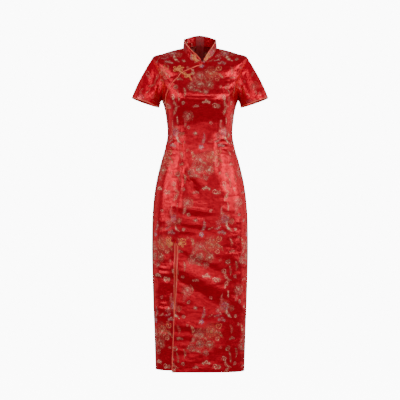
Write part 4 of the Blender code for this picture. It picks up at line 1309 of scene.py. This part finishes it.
def make_teeth():
    """Models one tooth and copies it down both tapes, left and right in turn."""
    bpy.ops.object.select_all(action="DESELECT")
    bpy.ops.mesh.primitive_cube_add(size=1.0, location=(0, 0, 0))
    tooth = bpy.context.active_object
    tooth.name = "zip_teeth"
    bpy.ops.object.mode_set(mode="EDIT")
    bpy.ops.mesh.select_all(action="SELECT")
    bpy.ops.transform.resize(value=TOOTH)
    bpy.ops.mesh.bevel(offset=0.0003, segments=2)
    bpy.ops.object.mode_set(mode="OBJECT")
    bpy.ops.object.shade_smooth_by_angle(angle=math.radians(40))
    tooth.data.materials.append(finishes()["metal"])
    places = teeth_places()
    spots = np.array([p for p, _ in places])
    rises = unit(np.gradient(spots, axis=0))
    copies = []
    for i, (spot, out) in enumerate(places):
        side = 1 if i % 2 else -1
        up = -rises[i]
        across = unit(np.cross(out, up))
        middle = spot + across * side * 0.0010
        turned = np.eye(4)
        turned[:3, 0] = across
        turned[:3, 1] = unit(np.cross(up, across))
        turned[:3, 2] = up
        turned[:3, 3] = middle
        one = tooth.copy()
        one.data = tooth.data.copy()
        one.matrix_world = Matrix(turned.tolist())
        bpy.context.scene.collection.objects.link(one)
        copies.append(one)
    bpy.data.objects.remove(tooth)
    for one in copies:
        one.select_set(True)
    bpy.context.view_layer.objects.active = copies[0]
    bpy.ops.object.join()
    bpy.ops.object.transform_apply(location=True, rotation=True, scale=True)
    copies[0].name = "zip_teeth"
    put_on(copies[0], "dress", "metal")
    copies[0].select_set(False)


def tape_grid(sign):
    """One tape of the zip from the collar's top down the back, laid behind the cloth."""
    shares = np.linspace(0, 1, 5)
    rows, norms = [], []
    for share in np.linspace(1.0, 0.02, 12):
        d = 180.0 - sign * (0.5 + 14.0 * shares)
        p, flat = collar_points(d, share, sign < 0)
        rows.append(p - flat * 0.0027 - np.array((0, 0, 0.001 * share)))
        norms.append(flat)
    levels = even_levels(NECK, TAPE_END, 0.008)
    width = bare_frame(levels, np.full(len(levels), 180.0))[3]
    d = 180.0 - sign * (0.0003 + TAPE_WIDTH * shares[None] / width[:, None])
    points, normals = body(np.repeat(levels[:, None], 5, 1), d, -0.0026)
    points = np.concatenate((np.stack(rows), points))
    normals = np.concatenate((np.stack(norms), normals))
    steps = np.linalg.norm(np.diff(points[:, 0], axis=0), axis=-1)
    run = np.concatenate(([0], np.cumsum(steps)))
    across = np.repeat(np.linspace(0, TAPE_WIDTH, 5)[None], len(run), 0)
    lengths = np.stack((across, np.repeat(run[:, None], 5, 1)), -1)
    grid = [points, normals, lengths]
    return [g[:, ::-1] for g in grid] if sign > 0 else grid


def make_zip():
    """The zip's tapes and teeth, and the finish of its slider and pull."""
    for name, sign in (("zip_tape_left", 1), ("zip_tape_right", -1)):
        obj = slab(name + "_strip", [tape_grid(sign)], finishes()["tape"], TAPE_WALL)
        put_on(obj, "dress", "plain", name)
    make_teeth()
    for node in ("zip_slider", "zip_pull"):
        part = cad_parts[node]
        part.data.materials.clear()
        part.data.materials.append(finishes()["metal"])


# ---------------------------------------------------------------- frogs
# Each frog: name, what it lies on, its place there (on the body a level and degrees, on the collar
# degrees and a height), and its strands: kind, place across and up, size, turn in degrees.
FROGS = (
    ("chest_upper", "body", -0.0285, -27.6, (
        ("coil", 0.0, -0.001, 0.0078, -50.0),
        ("leaf", 0.0, 0.002, 0.0190, 118.0),
        ("leaf", -0.002, 0.0, 0.0185, 165.0),
        ("leaf", 0.002, 0.002, 0.0180, 62.0),
        ("leaf", -0.001, -0.002, 0.0165, 215.0),
        ("leaf", 0.002, 0.0, 0.0160, 10.0),
        ("band", 0.005, -0.003, 0.030, -24.0),
        ("band", 0.005, -0.006, 0.029, -26.0),
    )),
    ("chest_lower", "body", -0.060, -14.6, (
        ("coil", 0.003, -0.001, 0.0078, 130.0),
        ("leaf", 0.001, 0.002, 0.0160, 140.0),
        ("leaf", 0.004, 0.001, 0.0150, 40.0),
        ("leaf", 0.003, -0.003, 0.0160, -60.0),
        ("leaf", 0.0, -0.002, 0.0160, 200.0),
    )),
    ("slit_side", "body", SLIT_TOP, -35.6, (
        ("leaf", 0.004, 0.001, 0.0250, 150.0),
        ("leaf", 0.004, 0.001, 0.0205, 118.0),
        ("leaf", 0.004, -0.001, 0.0215, 184.0),
        ("coil", 0.006, -0.002, 0.0062, 200.0),
        ("leaf", 0.004, -0.002, 0.0160, 228.0),
    )),
    ("slit_main", "body", SLIT_TOP, -22.0, (
        ("leaf", -0.004, 0.001, 0.0250, 30.0),
        ("leaf", -0.004, 0.001, 0.0205, 62.0),
        ("leaf", -0.004, -0.001, 0.0215, -4.0),
        ("coil", -0.006, -0.002, 0.0062, -20.0),
        ("leaf", -0.004, -0.002, 0.0160, -48.0),
    )),
    ("collar_right", "collar", -13.5, 0.0145, (
        ("coil", 0.004, -0.003, 0.0066, 120.0),
        ("leaf", 0.002, 0.0, 0.0185, 150.0),
        ("leaf", 0.002, 0.001, 0.0150, 112.0),
        ("leaf", 0.0, -0.002, 0.0150, 190.0),
    )),
    ("collar_left", "collar", 22.5, 0.0125, (
        ("coil", -0.004, -0.002, 0.0062, 60.0),
        ("leaf", -0.002, 0.0, 0.0175, 28.0),
        ("leaf", -0.002, 0.001, 0.0140, 66.0),
        ("leaf", 0.0, -0.002, 0.0145, -14.0),
    )),
)


def turned_to(x, y, along, aside, turn):
    """Flat points from lengths along a direction and aside from it."""
    return np.stack((x + along * math.cos(turn) - aside * math.sin(turn),
                     y + along * math.sin(turn) + aside * math.cos(turn)), -1)


def frog_line(kind, x, y, size, turn):
    """One flat line of a frog's cord and its height over the cloth: a coil, a band or a leaf's loop."""
    turn = math.radians(turn)
    if kind == "coil":
        t = np.linspace(0.0, 2.3 * 2 * math.pi, 54)
        r = size * (0.10 + 0.90 * t / t[-1])
        return np.stack((x + r * np.cos(t + turn), y + r * np.sin(t + turn)), -1), 0.0026
    if kind == "band":
        t = np.linspace(0.0, 1.0, 14)
        return turned_to(x, y, size * t, size * 0.06 * np.sin(math.pi * t), turn), 0.0024
    w = np.linspace(-0.96 * math.pi, 0.96 * math.pi, 30)
    along = size * 0.5 * (1 + np.cos(w))
    aside = size * 0.25 * np.sin(w) * (0.55 + 0.45 * np.cos(w))
    aside = aside + size * 0.10 * np.sin(math.pi * along / size)
    return turned_to(x, y, along, aside, turn), 0.0009


def on_body(level, degrees, line, out, lifted):
    """A frog's flat line laid on the front, round its place there."""
    width = float(bare_frame(level, degrees)[3])
    tall = float(np.linalg.norm(bare(level + 0.004, degrees) - bare(level - 0.004, degrees))) / 0.008
    level, degrees = level + line[:, 1] / tall, degrees + line[:, 0] / width
    more = main_out(level, degrees) if lifted else 0.0
    return body(level, degrees, out + more)


def on_collar(degrees, height, line, out, right_side):
    """A frog's flat line laid on one half of the collar, round its place there."""
    degrees = degrees + line[:, 0] / 0.00118
    tall = look_up(COLLAR, np.abs(degrees - COLLAR_MEET), 1 if right_side else 2)
    share = np.clip((height + line[:, 1]) / tall, -0.2, 1.2)
    return collar_points(degrees, share, right_side, out)


def make_frogs():
    """The six frogs, each one mesh of coiled and looped cord."""
    for name, where, first, second, strands in FROGS:
        paths, normals = [], []
        for line, high in (frog_line(*strand) for strand in strands):
            if where == "body":
                p, n = on_body(first, second, line, 0.0008 + high, "main" in name)
            else:
                p, n = on_collar(first, second, line, 0.0008 + high, "right" in name)
            paths.append(p)
            normals.append(n)
        obj = cord_mesh("frog_" + name + "_cord", paths, FROG_CORD, finishes()["frog"], False, normals)
        put_on(obj, "dress", "frog", "frog_" + name)


# ---------------------------------------------------------------- stage
def make_floor(view):
    """A pale floor that sweeps up behind, and its finish."""
    bpy.ops.object.select_all(action="DESELECT")
    bpy.ops.mesh.primitive_plane_add(size=14.0, location=(0, 2.0, view.floor))
    floor = bpy.context.active_object
    floor.name = "studio_floor"
    bpy.ops.object.mode_set(mode="EDIT")
    bpy.ops.mesh.select_all(action="DESELECT")
    bpy.ops.object.mode_set(mode="OBJECT")
    for edge in floor.data.edges:
        edge.select = all(floor.data.vertices[v].co.y > 6.9 for v in edge.vertices)
    bpy.ops.object.mode_set(mode="EDIT")
    bpy.ops.mesh.select_mode(type="EDGE")
    bpy.ops.mesh.extrude_region_move(TRANSFORM_OT_translate={"value": (0, 0, 8.0)})
    bpy.ops.object.mode_set(mode="OBJECT")
    bpy.ops.object.transform_apply(location=True, rotation=True, scale=True)
    bevel = floor.modifiers.new("sweep", "BEVEL")
    bevel.width = 2.0
    bevel.segments = 12
    bpy.ops.object.modifier_apply(modifier="sweep")
    bpy.ops.object.shade_smooth()
    made, w, shader = new_material("pale floor")
    place = w.node("ShaderNodeTexCoord").outputs["Object"]
    grain = w.node("ShaderNodeTexNoise")
    grain.inputs["Scale"].default_value = 3.0
    w.put(grain.inputs["Vector"], place)
    pale = w.mix(grain.outputs[0], (0.92, 0.92, 0.92, 1), (0.95, 0.95, 0.95, 1))
    w.put(shader.inputs["Base Color"], pale)
    shader.inputs["Roughness"].default_value = 0.9
    shader.inputs["Emission Color"].default_value = (1, 1, 1, 1)
    shader.inputs["Emission Strength"].default_value = view.floor_light
    floor.data.materials.append(made)
    floor.visible_diffuse = False
    floor.visible_glossy = False
    floor.visible_shadow = False
    floor.select_set(False)


def make_lights(view):
    """The light of the room and seven lamps."""
    world = bpy.data.worlds.new("studio")
    bpy.context.scene.world = world
    world.use_nodes = True
    back = world.node_tree.nodes["Background"]
    back.inputs["Color"].default_value = (1, 1, 1, 1)
    back.inputs["Strength"].default_value = view.world_light
    for name, place, aim, size, power in (
        ("left light", (-2.9, -1.6, 0.25), (0, 0, -0.4), (0.9, 1.2), view.left_light),
        ("right light", (2.9, -1.6, 0.25), (0, 0, -0.4), (0.9, 1.2), view.right_light),
        ("top light", (0, -3.4, 1.2), (0, 0, -0.5), (2.2, 0.6), view.top_light),
        ("front light", (0, -4.2, -0.9), (0, 0, -0.6), (2.6, 1.0), view.front_light),
        ("neck light", (0, -1.6, 1.1), (0, 0.03, 0.01), (0.10, 0.06), view.neck_light),
        ("left rim light", (-2.2, 1.0, -0.3), (0, 0, -0.6), (0.6, 2.2), view.left_rim),
        ("right rim light", (2.2, 1.0, -0.3), (0, 0, -0.6), (0.6, 2.2), view.right_rim),
    ):
        lamp = bpy.data.lights.new(name, "AREA")
        lamp.shape = "RECTANGLE"
        lamp.size, lamp.size_y = size
        lamp.spread = math.radians(12 if "neck" in name else 180)
        lamp.energy = power
        obj = bpy.data.objects.new(name, lamp)
        bpy.context.scene.collection.objects.link(obj)
        way = np.array(aim, float) - np.array(place, float)
        obj.location = place
        flat = math.hypot(way[0], way[1])
        obj.rotation_euler = (math.atan2(flat, -way[2]), 0.0, math.atan2(-way[0], way[1]))


def make_camera(view):
    """The camera, in front of the dress and facing it."""
    lens = bpy.data.cameras.new("camera")
    lens.lens = view.lens
    lens.sensor_width = 36.0
    camera = bpy.data.objects.new("camera", lens)
    camera.location = (view.camera_side, -view.camera_distance, view.camera_height)
    camera.rotation_euler = (math.radians(90), 0, 0)
    bpy.context.scene.collection.objects.link(camera)
    bpy.context.scene.camera = camera


def make_stage():
    """The floor, the light and the camera."""
    view = bpy.context.scene.dress_stage
    make_floor(view)
    make_lights(view)
    make_camera(view)


# ---------------------------------------------------------------- settings, buttons and panel
class DressCloth(bpy.types.PropertyGroup):
    """Sizes and colours of the cloth"""
    satin: bpy.props.FloatVectorProperty(
        name="Satin", description="Colour of the satin ground", subtype="COLOR",
        size=3, min=0, max=1, default=linear(0.86, 0.075, 0.172)[:3])
    satin_deep: bpy.props.FloatVectorProperty(
        name="Satin, deep", description="Darker tone of the satin's threads", subtype="COLOR",
        size=3, min=0, max=1, default=linear(0.71, 0.072, 0.140)[:3])
    piping: bpy.props.FloatVectorProperty(
        name="Piping", description="Colour of the piping", subtype="COLOR",
        size=3, min=0, max=1, default=linear(1.0, 0.42, 0.32)[:3])
    frog: bpy.props.FloatVectorProperty(
        name="Frogs", description="Colour of the frog cords", subtype="COLOR",
        size=3, min=0, max=1, default=linear(1.0, 0.64, 0.36)[:3])
    row_step: bpy.props.FloatProperty(
        name="Row step", description="Distance between the rows of the cloth's mesh",
        default=0.0042, min=0.002, max=0.02, unit="LENGTH")


class DressStage(bpy.types.PropertyGroup):
    """The floor, the light and the camera"""
    floor: bpy.props.FloatProperty(
        name="Floor", description="Height of the floor", default=-1.60, unit="LENGTH")
    camera_distance: bpy.props.FloatProperty(
        name="Distance", description="Camera's distance in front of the dress", default=4.5, unit="LENGTH")
    camera_height: bpy.props.FloatProperty(
        name="Height", description="Camera's height", default=-0.5844, unit="LENGTH")
    camera_side: bpy.props.FloatProperty(
        name="Side", description="Camera's place across", default=0.0, unit="LENGTH")
    lens: bpy.props.FloatProperty(
        name="Lens", description="Focal length in mm", default=104.65)
    world_light: bpy.props.FloatProperty(
        name="Room light", description="Light from all round", default=0.30)
    left_light: bpy.props.FloatProperty(
        name="Left light", description="Power in W", default=36.0)
    right_light: bpy.props.FloatProperty(
        name="Right light", description="Power in W", default=45.0)
    top_light: bpy.props.FloatProperty(
        name="Top light", description="Power in W", default=26.0)
    front_light: bpy.props.FloatProperty(
        name="Front light", description="Power in W", default=18.0)
    neck_light: bpy.props.FloatProperty(
        name="Neck light", description="Power in W", default=0.02)
    left_rim: bpy.props.FloatProperty(
        name="Left rim light", description="Power in W", default=6.0)
    right_rim: bpy.props.FloatProperty(
        name="Right rim light", description="Power in W", default=13.0)
    floor_light: bpy.props.FloatProperty(
        name="Floor light", description="The floor's own light", default=10.0)


class DRESS_OT_front(bpy.types.Operator):
    """Makes the front, slashed at the long dart and slit"""
    bl_idname = "dress.front"
    bl_label = "Front"
    bl_options = {"REGISTER", "UNDO"}

    def execute(self, context):
        make_front()
        return {"FINISHED"}


class DRESS_OT_yoke(bpy.types.Operator):
    """Makes the piece above the slanted opening"""
    bl_idname = "dress.yoke"
    bl_label = "Upper right front"
    bl_options = {"REGISTER", "UNDO"}

    def execute(self, context):
        make_yoke()
        return {"FINISHED"}


class DRESS_OT_backs(bpy.types.Operator):
    """Makes the two halves of the back"""
    bl_idname = "dress.backs"
    bl_label = "Backs"
    bl_options = {"REGISTER", "UNDO"}

    def execute(self, context):
        make_backs()
        return {"FINISHED"}


class DRESS_OT_sleeves(bpy.types.Operator):
    """Makes both sleeves and the piping of their hems"""
    bl_idname = "dress.sleeves"
    bl_label = "Sleeves"
    bl_options = {"REGISTER", "UNDO"}

    def execute(self, context):
        make_sleeves()
        return {"FINISHED"}


class DRESS_OT_collars(bpy.types.Operator):
    """Makes both halves of the collar and their piping"""
    bl_idname = "dress.collars"
    bl_label = "Collar"
    bl_options = {"REGISTER", "UNDO"}

    def execute(self, context):
        make_collars()
        return {"FINISHED"}


class DRESS_OT_pipings(bpy.types.Operator):
    """Makes the piping of the opening and the slit"""
    bl_idname = "dress.pipings"
    bl_label = "Piping"
    bl_options = {"REGISTER", "UNDO"}

    def execute(self, context):
        make_pipings()
        return {"FINISHED"}


class DRESS_OT_underlap(bpy.types.Operator):
    """Makes the plain strip behind the slit"""
    bl_idname = "dress.underlap"
    bl_label = "Underlap"
    bl_options = {"REGISTER", "UNDO"}

    def execute(self, context):
        make_underlap()
        return {"FINISHED"}


class DRESS_OT_zip(bpy.types.Operator):
    """Makes the zip's tapes and finishes its slider and pull"""
    bl_idname = "dress.zip"
    bl_label = "Zip"
    bl_options = {"REGISTER", "UNDO"}

    def execute(self, context):
        make_zip()
        return {"FINISHED"}


class DRESS_OT_frogs(bpy.types.Operator):
    """Makes the six frog fastenings"""
    bl_idname = "dress.frogs"
    bl_label = "Frogs"
    bl_options = {"REGISTER", "UNDO"}

    def execute(self, context):
        make_frogs()
        return {"FINISHED"}


class DRESS_OT_stage(bpy.types.Operator):
    """Makes the floor, the light and the camera"""
    bl_idname = "dress.stage"
    bl_label = "Stage"
    bl_options = {"REGISTER", "UNDO"}

    def execute(self, context):
        make_stage()
        return {"FINISHED"}


# The buttons, in the order in which the pieces are made.
OPERATORS = (
    DRESS_OT_front, DRESS_OT_yoke, DRESS_OT_backs,
    DRESS_OT_sleeves, DRESS_OT_collars, DRESS_OT_pipings,
    DRESS_OT_underlap, DRESS_OT_zip, DRESS_OT_frogs,
    DRESS_OT_stage,
)


class DRESS_PT_panel(bpy.types.Panel):
    """The dress's settings and buttons"""
    bl_label = "Cheongsam dress"
    bl_idname = "DRESS_PT_panel"
    bl_space_type = "VIEW_3D"
    bl_region_type = "UI"
    bl_category = "Dress"

    def draw(self, context):
        for group in (context.scene.dress_cloth, context.scene.dress_stage):
            for key in group.__annotations__:
                self.layout.prop(group, key)
        for made in OPERATORS:
            self.layout.operator(made.bl_idname)


CLASSES = (DressCloth, DressStage) + OPERATORS + (DRESS_PT_panel,)


def register():
    """Adds the settings, the buttons and the panel."""
    for made in CLASSES:
        bpy.utils.register_class(made)
    bpy.types.Scene.dress_cloth = bpy.props.PointerProperty(type=DressCloth)
    bpy.types.Scene.dress_stage = bpy.props.PointerProperty(type=DressStage)


def unregister():
    """Takes them away again, last first."""
    del bpy.types.Scene.dress_stage
    del bpy.types.Scene.dress_cloth
    for made in reversed(CLASSES):
        bpy.utils.unregister_class(made)


def main():
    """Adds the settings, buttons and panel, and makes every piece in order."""
    register()
    bpy.ops.object.select_all(action="DESELECT")
    for made in OPERATORS:
        kind, name = made.bl_idname.split(".")
        getattr(getattr(bpy.ops, kind), name)()
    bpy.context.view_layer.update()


if __name__ == "__main__":
    main()
